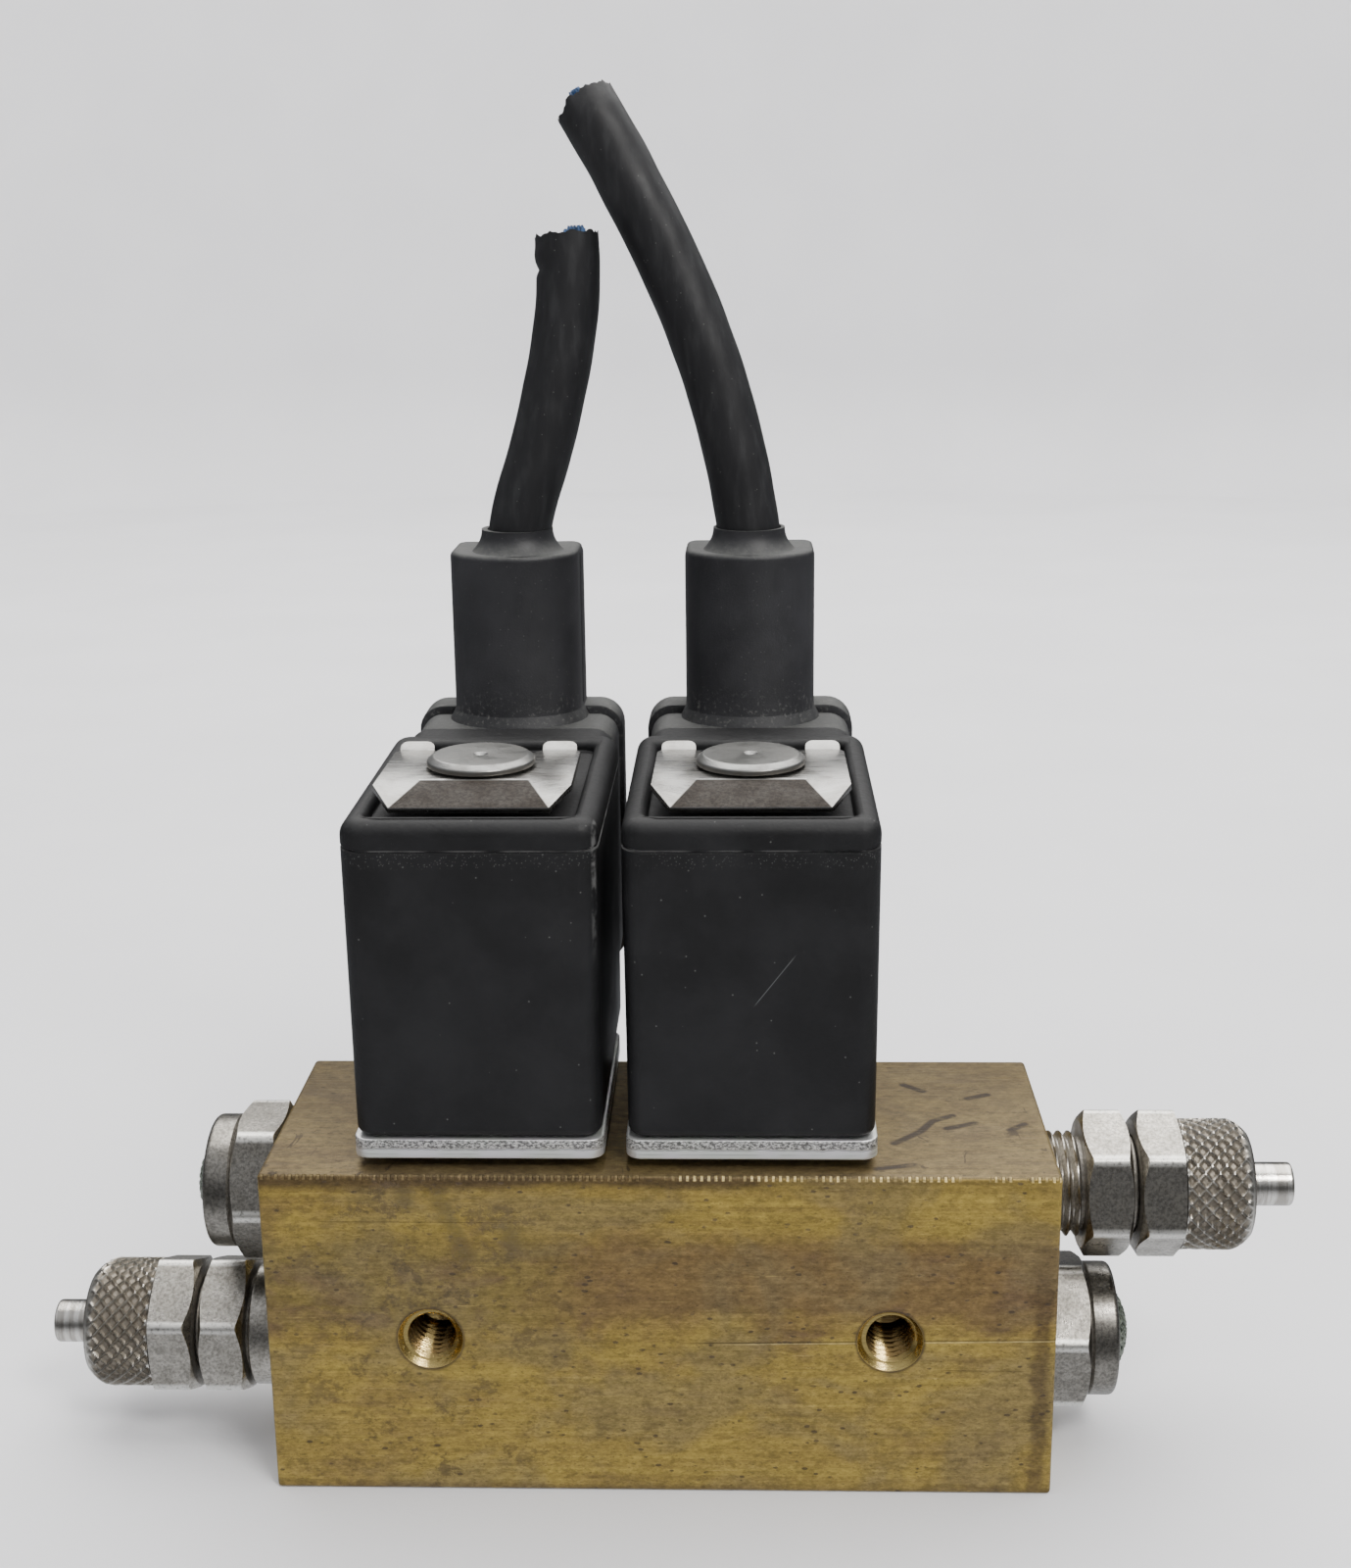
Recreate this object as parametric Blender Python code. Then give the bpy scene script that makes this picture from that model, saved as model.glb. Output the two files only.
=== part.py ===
"""Twin solenoid valve block: a brass manifold with two direct-acting solenoid valves on top,
and a push-on tube fitting and a silencer on each end. Origin: centre of the block's bottom face.
+X runs along the block, -Y is the front, +Z is up. Units are metres."""

from math import cos, pi, radians, sin, sqrt, tau

import bmesh
import bpy
from mathutils import Matrix, Vector

MM = 0.001
GAP = 0.15 * MM  # air between two pieces that touch
SIDES = 24  # facets round a turned piece that shows or runs in another
FEW_SIDES = 16  # facets round a hidden one
SMOOTH_ANGLE = radians(32)

# Manifold block
BLOCK_LENGTH = 70 * MM
BLOCK_DEPTH = 26 * MM
BLOCK_HEIGHT = 31 * MM
BLOCK_EDGE = 0.35 * MM
BOLT_X = 20.4 * MM
BOLT_Z = 15.2 * MM
BOLT_CORE = 2.1 * MM  # core radius of an M5 thread
BOLT_SINK = 2.95 * MM
BOLT_DEPTH = 8 * MM
BOLT_POINT = 1 * MM
UPPER_PORT_Z = 24.3 * MM
LOWER_PORT_Z = 9.4 * MM
PORT_BORE = 5.0 * MM
PORT_DEPTH = 11 * MM
PORT_POINT = 0.8 * MM
PORT_CHAMFER = 0.5 * MM
GALLERY = 1.25 * MM
OVERRUN = 1 * MM  # how far a cutting shape runs past the face it cuts

# Valve stations along the block
VALVE_X = {"left": -15.7 * MM, "right": 8.2 * MM}
SIDE_SIGN = {"left": -1, "right": 1}
CHAMBER_RADIUS = 6.0 * MM
CHAMBER_FLOOR = 20.5 * MM
SEAT_TOP = 21.7 * MM
SEAT_RADIUS = 1.9 * MM
SEAT_BORE = 0.9 * MM
SEAL_GROOVE_RADIUS = 7.7 * MM
SEAL_GROOVE_FLOOR = 29.5 * MM

# Armature tube, core and plunger
TUBE_OUTER = 4.9 * MM
TUBE_INNER = 4.5 * MM
TUBE_BASE_RADIUS = 5.85 * MM
TUBE_BASE_BOTTOM = 26.2 * MM
TUBE_FLANGE_RADIUS = 8.2 * MM
TUBE_TOP = 60.0 * MM
CORE_RADIUS = 4.42 * MM
CORE_BOTTOM = 46.5 * MM
NECK_RADIUS = 3.85 * MM
NECK_BOTTOM = 63.7 * MM
NECK_TOP = 64.75 * MM
HEAD_RADIUS = 4.8 * MM
HEAD_TOP = 65.6 * MM
PLUNGER_RADIUS = 4.38 * MM
PLUNGER_BOTTOM = 22.3 * MM
PLUNGER_STROKE = 1.2 * MM
PLUNGER_TOP = CORE_BOTTOM - PLUNGER_STROKE - 0.05 * MM
SPRING_POCKET = 2.2 * MM
SPRING_FLOOR = 37.0 * MM
SPRING_RADIUS = 1.65 * MM
SPRING_WIRE = 0.22 * MM
SPRING_TURNS = 6
DISC_RADIUS = 2.3 * MM
DISC_TOP = 24.2 * MM

# Coil: casing, yoke, bobbin and winding
COIL_HALF_WIDTH = 11.0 * MM
COIL_FRONT = -11.4 * MM
COIL_BACK = 19.9 * MM
COIL_BOTTOM = 33.85 * MM
COIL_TOP = 62.6 * MM
COIL_SEAM = 60.0 * MM
COIL_BORE = 5.2 * MM
COIL_DRAFT = 0.2 * MM
COIL_CORNER = 1.8 * MM
COIL_TOP_ROUND = 1.1 * MM
CAVITY_HALF_WIDTH = 9.2 * MM
CAVITY_FRONT = -9.4 * MM
CAVITY_TOP = 59.9 * MM
TERMINAL_HALF_WIDTH = 10.3 * MM
TERMINAL_BOTTOM = 35.0 * MM
TERMINAL_TOP = 62.1 * MM
TERMINAL_BACK = 24.3 * MM
POCKET_HALF_WIDTH = 8.9 * MM
POCKET_FRONT = -9.7 * MM
POCKET_BACK = 16.5 * MM
POCKET_FLOOR = 61.6 * MM
YOKE_BOTTOM = 31.9 * MM
YOKE_SHEET = 1.8 * MM
YOKE_BACK = 14.2 * MM
YOKE_TOP = 59.7 * MM
YOKE_LEG_HALF_WIDTH = 7.0 * MM
YOKE_TOP_HALF_WIDTH = 8.8 * MM
BOBBIN_HUB = 5.9 * MM
BOBBIN_RIM = 8.9 * MM
BOBBIN_FLANGE = 1.0 * MM

# Connector plug and cable
GASKET_INSET = 0.4 * MM
PLUG_FRONT = 25.9 * MM
PLUG_STEP = 32.9 * MM
PLUG_BACK = 38.0 * MM
PLUG_BOTTOM = 34.4 * MM
PLUG_TOP = 62.4 * MM
PLUG_HALF_WIDTH = 10.65 * MM
PLUG_INSET = 0.4 * MM  # how much narrower the plug's front part is on each side
PLUG_RAISE = 0.8 * MM  # and how much shorter at the top and the bottom
PLUG_CORNER = 2.6 * MM
BOSS_RADIUS = 6.5 * MM
BOSS_Y = 31.5 * MM
BOSS_FLATNESS = 0.82  # how far the round front reaches, as a share of the radius
BOSS_TOP = 79.0 * MM
BOSS_BACK = PLUG_BACK - 0.9 * MM
COLLAR_RADIUS = 4.6 * MM
COLLAR_WAIST = 3.95 * MM
COLLAR_LIP = 3.75 * MM
COLLAR_TOP = 81.2 * MM
CABLE_RADIUS = 3.2 * MM
CABLE_START = 71.0 * MM
CABLE_STEP = 2.6 * MM
CABLE_BORE = CABLE_RADIUS + 0.28 * MM
SCREW_Z = 45.0 * MM
SCREW_RADIUS = 1.5 * MM
SCREW_HEAD = 2.8 * MM
SCREW_END = 20.2 * MM
BLADE_Z = 52.0 * MM
BLADE_X = 4.6 * MM
EARTH_Z = 39.6 * MM
BLADE_START = 15.5 * MM
BLADE_WIDTH = 6.3 * MM
BLADE_SHEET = 0.8 * MM

# Where each cable runs, in mm: (x from its valve's axis, y, z)
COLLAR_POINT = 2  # the point of the route that lies at the collar's lip
CABLE_ROUTE = {
    "left": (
        (0.1, 31.1, 71.0),
        (0.3, 31.1, 76.0),
        (0.7, 31.1, 80.9),
        (1.6, 31.3, 84.7),
        (2.9, 31.7, 88.8),
        (4.0, 32.1, 92.9),
        (4.9, 32.5, 96.8),
        (5.5, 32.9, 100.3),
        (5.9, 33.3, 103.8),
        (6.0, 33.6, 106.8),
        (5.9, 34.0, 109.9),
    ),
    "right": (
        (0.2, 31.1, 71.0),
        (0.1, 31.1, 76.0),
        (-0.1, 31.1, 80.8),
        (-0.7, 31.5, 84.6),
        (-1.6, 31.9, 88.9),
        (-3.2, 32.8, 95.0),
        (-4.8, 33.5, 99.6),
        (-6.4, 34.2, 103.6),
        (-7.9, 34.8, 106.9),
        (-9.3, 35.3, 109.9),
        (-11.4, 36.0, 113.8),
        (-13.2, 36.7, 117.2),
        (-16.2, 37.7, 122.3),
    ),
}

# Clip
CLIP_SHEET = 0.6 * MM
CLIP_TOP = 64.55 * MM
CLIP_SLOT = 4.05 * MM
CLIP_FOLD = -6.6 * MM
CLIP_FACET = (4.7 * MM, -4.9 * MM)
CLIP_BEND = 5.3 * MM
LIP_INNER = 4.95 * MM
LIP_OUTER = 8.1 * MM
LIP_RUN = 0.8 * MM
LIP_RISE = 0.67 * MM
CLIP_DROP = 1.3 * MM
CLIP_REACH = 2.7 * MM

# Tube fittings, measured outwards from the block's end face
THREAD_RADIUS = 4.85 * MM
THREAD_ROOT = 4.35 * MM
THREAD_PITCH = 0.9 * MM
THREAD_INSIDE = -8.5 * MM
FITTING_FLATS = 12 * MM
FITTING_SHIFT = {"left": 0.8 * MM, "right": 0.0}
HEX_START = 3.5 * MM
HEX_END = 7.7 * MM
SHORT_CHAMFER = 1.0 * MM
LONG_CHAMFER = 1.7 * MM
NUT_START = 8.4 * MM
NUT_HEX_END = 12.4 * MM
NUT_END = 18.8 * MM
KNURL_RADIUS = 6.0 * MM
SPIGOT_END = {"left": 23.4 * MM, "right": 23.0 * MM}
SPIGOT_RADIUS = 2.0 * MM
SPIGOT_BORE = 1.4 * MM
FITTING_NECK = 4.5 * MM
FITTING_CONE = 3.0 * MM
FITTING_COLLAR = 5.75 * MM
CONE_START = 13.9 * MM
CONE_END = 15.9 * MM

# Silencers, measured outwards from the block's end face
SILENCER_FLATS = 13 * MM
SILENCER_HEX_END = 4.4 * MM
SILENCER_END = 7.05 * MM
SILENCER_RADIUS = 6.15 * MM
SILENCER_BORE = 2.6 * MM
SILENCER_INSIDE = -7 * MM
MESH_SEAT = 4.55 * MM
MESH_SEAT_DEPTH = 0.9 * MM
MESH_RADIUS = 4.4 * MM
MESH_TOP = 8.65 * MM

# Angle of one hexagon corner above the front, for each screwed piece
CORNER_ANGLE = {
    ("fitting", "left"): radians(24),
    ("fitting", "right"): radians(43),
    ("silencer", "left"): radians(58),
    ("silencer", "right"): radians(16),
}

BRASS = (0.42, 0.31, 0.11)
NICKEL = (0.62, 0.59, 0.53)
ZINC = (0.66, 0.67, 0.69)
STEEL = (0.55, 0.56, 0.57)
BLACK_PLASTIC = (0.018, 0.018, 0.02)
BLACK_RUBBER = (0.012, 0.012, 0.013)
COPPER = (0.55, 0.24, 0.12)
NYLON = (0.55, 0.53, 0.47)
MESH_GREEN = (0.16, 0.19, 0.16)


# --- building blocks -------------------------------------------------------------------------


def turned(profile, sides=SIDES):
    """A closed outline of (radius, height) points, turned about Z."""
    shape = bmesh.new()
    rings = []
    for radius, height in profile:
        if radius == 0:
            rings.append([shape.verts.new((0, 0, height))])
            continue
        angles = [tau * step / sides for step in range(sides)]
        rings.append([shape.verts.new((radius * cos(a), radius * sin(a), height)) for a in angles])
    for ring, following in zip(rings, rings[1:] + rings[:1]):
        if len(ring) == len(following) == 1:
            continue
        for step in range(sides):
            after = (step + 1) % sides
            corners = [
                ring[step % len(ring)],
                ring[after % len(ring)],
                following[after % len(following)],
                following[step % len(following)],
            ]
            shape.faces.new(list(dict.fromkeys(corners)))
    bmesh.ops.recalc_face_normals(shape, faces=shape.faces)
    return shape


def prism(outline, bottom, top, shrink=0.0):
    """A flat outline of (x, y) points pulled up from bottom to top; the bottom may be narrower."""
    shape = bmesh.new()
    low = []
    for x, y in outline:
        inset_x = x - shrink * (x > 0) + shrink * (x < 0)
        low.append(shape.verts.new((inset_x, y, bottom)))
    high = [shape.verts.new((x, y, top)) for x, y in outline]
    shape.faces.new(low[::-1])
    shape.faces.new(high)
    for step in range(len(outline)):
        after = (step + 1) % len(outline)
        shape.faces.new((low[step], low[after], high[after], high[step]))
    bmesh.ops.recalc_face_normals(shape, faces=shape.faces)
    return shape


def rounded_outline(low_x, low_y, high_x, high_y, radius, steps=4):
    """A rectangle with round corners."""
    outline = []
    corners = (
        (high_x - radius, high_y - radius, 0),
        (low_x + radius, high_y - radius, 1),
        (low_x + radius, low_y + radius, 2),
        (high_x - radius, low_y + radius, 3),
    )
    for x, y, quarter in corners:
        for step in range(steps + 1):
            angle = (quarter + step / steps) * pi / 2
            outline.append((x + radius * cos(angle), y + radius * sin(angle)))
    return outline


def box(low, high):
    """A plain box between two corners."""
    outline = [(low[0], low[1]), (high[0], low[1]), (high[0], high[1]), (low[0], high[1])]
    return prism(outline, low[2], high[2])


def disc(radius, bottom, top, sides=FEW_SIDES):
    """A plain cylinder about Z."""
    return turned([(0, bottom), (radius, bottom), (radius, top), (0, top)], sides)


def placed(shape, turn=None, shift=(0, 0, 0)):
    """The same shape, turned and then moved."""
    matrix = Matrix.Translation(Vector(shift))
    if turn is not None:
        matrix = matrix @ turn.to_4x4()
    bmesh.ops.transform(shape, matrix=matrix, verts=shape.verts)
    return shape


TO_BACK = Matrix.Rotation(-pi / 2, 3, "X")  # local Z becomes +Y
TO_FRONT = Matrix.Rotation(pi / 2, 3, "X")  # local Z becomes -Y
TO_RIGHT = Matrix.Rotation(pi / 2, 3, "Y")  # local Z becomes +X
TO_LEFT = Matrix.Rotation(-pi / 2, 3, "Y")  # local Z becomes -X
OUTWARDS = {"left": TO_LEFT, "right": TO_RIGHT}


def upright(half_width, low_z, high_z, corner, front, back):
    """A round-cornered plate that stands upright, from its front face to its back face."""
    outline = rounded_outline(-half_width, -high_z, half_width, -low_z, corner)
    return placed(prism(outline, front, back), TO_BACK)


def rounded_end(shape, axis, level, width, steps=2):
    """Rounds the edges that lie at this level along an axis (1 for Y, 2 for Z)."""
    edges = [e for e in shape.edges if all(abs(v.co[axis] - level) < 0.01 * MM for v in e.verts)]
    bmesh.ops.bevel(shape, geom=edges, offset=width, segments=steps, profile=0.5, affect="EDGES")
    return shape


def softened(shape, width, steps=2, angle=radians(40)):
    """Rounds every edge that is sharper than the angle."""
    edges = [edge for edge in shape.edges if edge.calc_face_angle(0) > angle]
    bmesh.ops.bevel(
        shape, geom=edges, offset=width, segments=steps, profile=0.5, affect="EDGES", clamp_overlap=True
    )
    return shape


def to_object(name, shape):
    mesh = bpy.data.meshes.new(name)
    shape.to_mesh(mesh)
    shape.free()
    thing = bpy.data.objects.new(name, mesh)
    bpy.context.collection.objects.link(thing)
    return thing


def combined(first, others, operation):
    """A Boolean of one shape with several others, worked out at once and returned as a shape."""
    target = to_object("shape", first)
    tools = [to_object("tool", other) for other in others]
    for tool in tools:
        modifier = target.modifiers.new(operation.lower(), "BOOLEAN")
        modifier.operation = operation
        modifier.solver = "EXACT"
        modifier.object = tool
    bpy.context.view_layer.update()
    evaluated = target.evaluated_get(bpy.context.evaluated_depsgraph_get())
    result = bmesh.new()
    result.from_mesh(evaluated.to_mesh())
    evaluated.to_mesh_clear()
    for thing in [target, *tools]:
        mesh = thing.data
        bpy.data.objects.remove(thing)
        bpy.data.meshes.remove(mesh)
    return result


def cut(shape, *tools):
    return combined(shape, tools, "DIFFERENCE")


def joined(shape, *others):
    return combined(shape, others, "UNION")


def finish(thing, colour, roughness, metallic):
    material = bpy.data.materials.new(thing.name + "_finish")
    material.use_nodes = True
    shader = material.node_tree.nodes["Principled BSDF"]
    shader.inputs["Base Color"].default_value = (*colour, 1)
    shader.inputs["Roughness"].default_value = roughness
    shader.inputs["Metallic"].default_value = metallic
    thing.data.materials.append(material)


def add_piece(name, shape, parent, colour, roughness=0.4, metallic=0.0):
    """Makes one finished piece of the valve from a shape."""
    bmesh.ops.triangulate(shape, faces=shape.faces)
    thing = to_object(name, shape)
    thing.data.shade_smooth()
    thing.data.set_sharp_from_angle(angle=SMOOTH_ANGLE)
    thing.parent = parent
    finish(thing, colour, roughness, metallic)
    return thing


def add_frame(name, place, turn=None):
    """An empty that its pieces are built around."""
    frame = bpy.data.objects.new(name, None)
    bpy.context.collection.objects.link(frame)
    frame.location = place
    if turn is not None:
        frame.rotation_euler = turn.to_euler()
    return frame


def thread_profile(root, crest, pitch, start, end):
    """Points down one flank and up the next, from start to end."""
    points = []
    turns = int((end - start) / pitch)
    for step in range(turns):
        points.append((crest, start + pitch * (step + 0.25)))
        points.append((root, start + pitch * (step + 0.75)))
    return points


# --- manifold --------------------------------------------------------------------------------


def bolt_hole(x):
    """A blind M5 hole that opens to the front, with a countersunk mouth."""
    mouth = BLOCK_DEPTH / 2
    floor = mouth - BOLT_DEPTH
    outline = [
        (0, floor),
        (BOLT_CORE, floor + BOLT_POINT),
        (BOLT_CORE, mouth - (BOLT_SINK - BOLT_CORE)),
        (BOLT_SINK, mouth),
        (BOLT_SINK, mouth + OVERRUN),
        (0, mouth + OVERRUN),
    ]
    return placed(turned(outline, FEW_SIDES), TO_FRONT, (x, 0, BOLT_Z))


def port_hole(side, height, reach):
    """A tapped port in one end, with the gallery that goes on to the valve."""
    end = BLOCK_LENGTH / 2
    outline = [
        (0, reach),
        (GALLERY, reach),
        (GALLERY, end - PORT_DEPTH - PORT_POINT),
        (PORT_BORE, end - PORT_DEPTH),
        (PORT_BORE, end - PORT_CHAMFER),
        (PORT_BORE + PORT_CHAMFER, end),
        (PORT_BORE + PORT_CHAMFER, end + OVERRUN),
        (0, end + OVERRUN),
    ]
    return placed(turned(outline, FEW_SIDES), OUTWARDS[side], (0, 0, height))


def valve_chamber(x):
    """The chamber under one valve, with its raised seat and the bore through the seat."""
    outline = [
        (0, LOWER_PORT_Z),
        (SEAT_BORE, LOWER_PORT_Z),
        (SEAT_BORE, SEAT_TOP),
        (SEAT_RADIUS, SEAT_TOP),
        (SEAT_RADIUS + 0.4 * MM, CHAMBER_FLOOR),
        (CHAMBER_RADIUS, CHAMBER_FLOOR),
        (CHAMBER_RADIUS, SEAL_GROOVE_FLOOR),
        (SEAL_GROOVE_RADIUS, SEAL_GROOVE_FLOOR),
        (SEAL_GROOVE_RADIUS, BLOCK_HEIGHT + OVERRUN),
        (0, BLOCK_HEIGHT + OVERRUN),
    ]
    return placed(turned(outline, FEW_SIDES), None, (x, 0, 0))


def make_block():
    half = Vector((BLOCK_LENGTH / 2, BLOCK_DEPTH / 2, 0))
    block = softened(box(-half, half + Vector((0, 0, BLOCK_HEIGHT))), BLOCK_EDGE, 1)
    holes = [bolt_hole(BOLT_X), bolt_hole(-BOLT_X)]
    for side, x in VALVE_X.items():
        outwards = SIDE_SIGN[side] * x
        holes.append(valve_chamber(x))
        holes.append(port_hole(side, LOWER_PORT_Z, outwards))
        holes.append(port_hole(side, UPPER_PORT_Z, outwards + CHAMBER_RADIUS - 0.5 * MM))
    add_piece("manifold_block", cut(block, *holes), None, BRASS, 0.38, 1.0)


# --- armature tube, core and plunger ---------------------------------------------------------


def make_tube(side, frame):
    outline = [
        (TUBE_INNER, TUBE_BASE_BOTTOM),
        (TUBE_BASE_RADIUS, TUBE_BASE_BOTTOM),
        (TUBE_BASE_RADIUS, BLOCK_HEIGHT + GAP),
        (TUBE_FLANGE_RADIUS, BLOCK_HEIGHT + GAP),
        (TUBE_FLANGE_RADIUS, YOKE_BOTTOM - GAP),
        (TUBE_OUTER, YOKE_BOTTOM - GAP),
        (TUBE_OUTER, TUBE_TOP),
        (TUBE_INNER, TUBE_TOP),
    ]
    add_piece(f"armature_tube_{side}", turned(outline), frame, STEEL, 0.3, 1.0)


def make_core(side, frame):
    outline = [
        (0, CORE_BOTTOM),
        (CORE_RADIUS, CORE_BOTTOM),
        (CORE_RADIUS, TUBE_TOP + GAP),
        (TUBE_OUTER, TUBE_TOP + GAP),
        (TUBE_OUTER, NECK_BOTTOM - 0.3 * MM),
        (TUBE_OUTER - 0.3 * MM, NECK_BOTTOM),
        (NECK_RADIUS, NECK_BOTTOM),
        (NECK_RADIUS, NECK_TOP),
        (HEAD_RADIUS, NECK_TOP),
        (HEAD_RADIUS, HEAD_TOP - 0.25 * MM),
        (HEAD_RADIUS - 0.25 * MM, HEAD_TOP),
        (0.55 * MM, HEAD_TOP),
        (0, HEAD_TOP - 0.35 * MM),
    ]
    add_piece(f"fixed_core_{side}", turned(outline), frame, STEEL, 0.28, 1.0)


def make_plunger(side, frame):
    nose = 3.4 * MM
    nose_top = 25.5 * MM
    disc_bore = DISC_RADIUS + 0.1 * MM
    outline = [
        (0, DISC_TOP + 0.1 * MM),
        (disc_bore, DISC_TOP + 0.1 * MM),
        (disc_bore, PLUNGER_BOTTOM),
        (nose, PLUNGER_BOTTOM),
        (nose, nose_top),
        (PLUNGER_RADIUS, nose_top + 0.6 * MM),
        (PLUNGER_RADIUS, PLUNGER_TOP - 0.3 * MM),
        (PLUNGER_RADIUS - 0.3 * MM, PLUNGER_TOP),
        (SPRING_POCKET, PLUNGER_TOP),
        (SPRING_POCKET, SPRING_FLOOR),
        (0, SPRING_FLOOR),
    ]
    add_piece(f"plunger_{side}", turned(outline), frame, STEEL, 0.3, 1.0)
    seal = disc(DISC_RADIUS, SEAT_TOP + 0.05 * MM, DISC_TOP)
    add_piece(f"seat_seal_{side}", seal, frame, BLACK_RUBBER, 0.7)


def add_wire(name, points, radius, resolution, parent):
    """A round wire or cable along a list of points."""
    curve = bpy.data.curves.new(name, "CURVE")
    curve.dimensions = "3D"
    curve.bevel_depth = radius
    curve.bevel_resolution = resolution
    curve.use_fill_caps = True
    spline = curve.splines.new("POLY")
    spline.points.add(len(points) - 1)
    for place, point in zip(spline.points, points):
        place.co = (*point, 1)
    thing = bpy.data.objects.new(name, curve)
    bpy.context.collection.objects.link(thing)
    thing.parent = parent
    return thing


def make_spring(side, frame):
    steps_per_turn = 8
    bottom = SPRING_FLOOR + SPRING_WIRE + 0.05 * MM
    rise = CORE_BOTTOM - SPRING_WIRE - 0.05 * MM - bottom
    points = []
    for step in range(SPRING_TURNS * steps_per_turn + 1):
        angle = tau * step / steps_per_turn
        height = bottom + rise * step / (SPRING_TURNS * steps_per_turn)
        points.append((SPRING_RADIUS * cos(angle), SPRING_RADIUS * sin(angle), height))
    spring = add_wire(f"plunger_spring_{side}", points, SPRING_WIRE, 0, frame)
    finish(spring, STEEL, 0.3, 1.0)


def make_o_ring(side, frame):
    ring_radius = 6.78 * MM
    cord_radius = 0.72 * MM
    steps = 6
    outline = []
    for step in range(steps):
        angle = tau * step / steps
        height = BLOCK_HEIGHT - 0.7 * MM + cord_radius * sin(angle)
        outline.append((ring_radius + cord_radius * cos(angle), height))
    add_piece(f"tube_o_ring_{side}", turned(outline, FEW_SIDES), frame, BLACK_RUBBER, 0.6)


# --- coil ------------------------------------------------------------------------------------


def make_casing(side, frame):
    outline = rounded_outline(-COIL_HALF_WIDTH, COIL_FRONT, COIL_HALF_WIDTH, COIL_BACK, COIL_CORNER)
    body = prism(outline, COIL_BOTTOM, COIL_SEAM, COIL_DRAFT)
    cap = rounded_end(prism(outline, COIL_SEAM - OVERRUN, COIL_TOP), 2, COIL_TOP, COIL_TOP_ROUND, 3)
    terminal_corner = 2.2 * MM
    terminal = upright(
        TERMINAL_HALF_WIDTH, TERMINAL_BOTTOM, TERMINAL_TOP, terminal_corner, COIL_BACK - 2 * MM, TERMINAL_BACK
    )
    cavity = box(
        (-CAVITY_HALF_WIDTH, CAVITY_FRONT, COIL_BOTTOM - OVERRUN),
        (CAVITY_HALF_WIDTH, YOKE_BACK + 0.2 * MM, CAVITY_TOP),
    )
    pocket_corner = 1.2 * MM
    pocket_outline = rounded_outline(
        -POCKET_HALF_WIDTH, POCKET_FRONT, POCKET_HALF_WIDTH, POCKET_BACK, pocket_corner
    )
    pocket = prism(pocket_outline, POCKET_FLOOR, COIL_TOP + OVERRUN)
    bore = disc(COIL_BORE, COIL_BOTTOM, COIL_TOP + OVERRUN, SIDES)
    past_back = TERMINAL_BACK + OVERRUN
    holes = contact_holes(BLADE_START - 0.1 * MM, past_back, 0.1 * MM)
    holes.append(screw_hole(SCREW_END - 1.2 * MM, past_back, SCREW_RADIUS + GAP))
    casing = cut(joined(body, cap, terminal), cavity, pocket, bore, *holes)
    add_piece(f"coil_casing_{side}", casing, frame, BLACK_PLASTIC, 0.45)


def make_yoke(side, frame):
    corner = 1.4 * MM
    low_outline = rounded_outline(-COIL_HALF_WIDTH, COIL_FRONT, COIL_HALF_WIDTH, YOKE_BACK, corner)
    lower = prism(low_outline, YOKE_BOTTOM, YOKE_BOTTOM + YOKE_SHEET)
    leg = box(
        (-YOKE_LEG_HALF_WIDTH, YOKE_BACK - YOKE_SHEET, YOKE_BOTTOM + OVERRUN),
        (YOKE_LEG_HALF_WIDTH, YOKE_BACK - 0.01 * MM, YOKE_TOP - OVERRUN),
    )
    upper = box(
        (-YOKE_TOP_HALF_WIDTH, -YOKE_TOP_HALF_WIDTH, YOKE_TOP - YOKE_SHEET),
        (YOKE_TOP_HALF_WIDTH, YOKE_BACK, YOKE_TOP),
    )
    bore = disc(COIL_BORE, YOKE_BOTTOM - OVERRUN, YOKE_TOP + OVERRUN, SIDES)
    yoke = cut(joined(lower, leg, upper), bore)
    add_piece(f"yoke_{side}", yoke, frame, ZINC, 0.35, 1.0)


def make_bobbin(side, frame):
    bottom = COIL_BOTTOM + 0.1 * MM
    top = YOKE_TOP - YOKE_SHEET - GAP
    low_flange = bottom + BOBBIN_FLANGE
    high_flange = top - BOBBIN_FLANGE
    outline = [
        (COIL_BORE, bottom),
        (BOBBIN_RIM, bottom),
        (BOBBIN_RIM, low_flange),
        (BOBBIN_HUB, low_flange),
        (BOBBIN_HUB, high_flange),
        (BOBBIN_RIM, high_flange),
        (BOBBIN_RIM, top),
        (COIL_BORE, top),
    ]
    add_piece(f"bobbin_{side}", turned(outline, FEW_SIDES), frame, NYLON, 0.5)
    inner = BOBBIN_HUB + GAP
    outer = BOBBIN_RIM - 2 * GAP
    wound = [
        (inner, low_flange + GAP),
        (outer, low_flange + GAP),
        (outer, high_flange - GAP),
        (inner, high_flange - GAP),
    ]
    add_piece(f"winding_{side}", turned(wound, FEW_SIDES), frame, COPPER, 0.4, 1.0)


# --- connector plug --------------------------------------------------------------------------

BLADES = {
    "power_blade_1": (-BLADE_X, BLADE_Z, BLADE_SHEET, BLADE_WIDTH),
    "power_blade_2": (BLADE_X, BLADE_Z, BLADE_SHEET, BLADE_WIDTH),
    "earth_blade": (0, EARTH_Z, BLADE_WIDTH, BLADE_SHEET),
}


def blade_box(name, start, end, extra=0.0):
    x, z, width, height = BLADES[name]
    half_width = width / 2 + extra
    half_height = height / 2 + extra
    return box((x - half_width, start, z - half_height), (x + half_width, end, z + half_height))


def contact_holes(start, end, extra):
    return [blade_box(name, start, end, extra) for name in BLADES]


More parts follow.
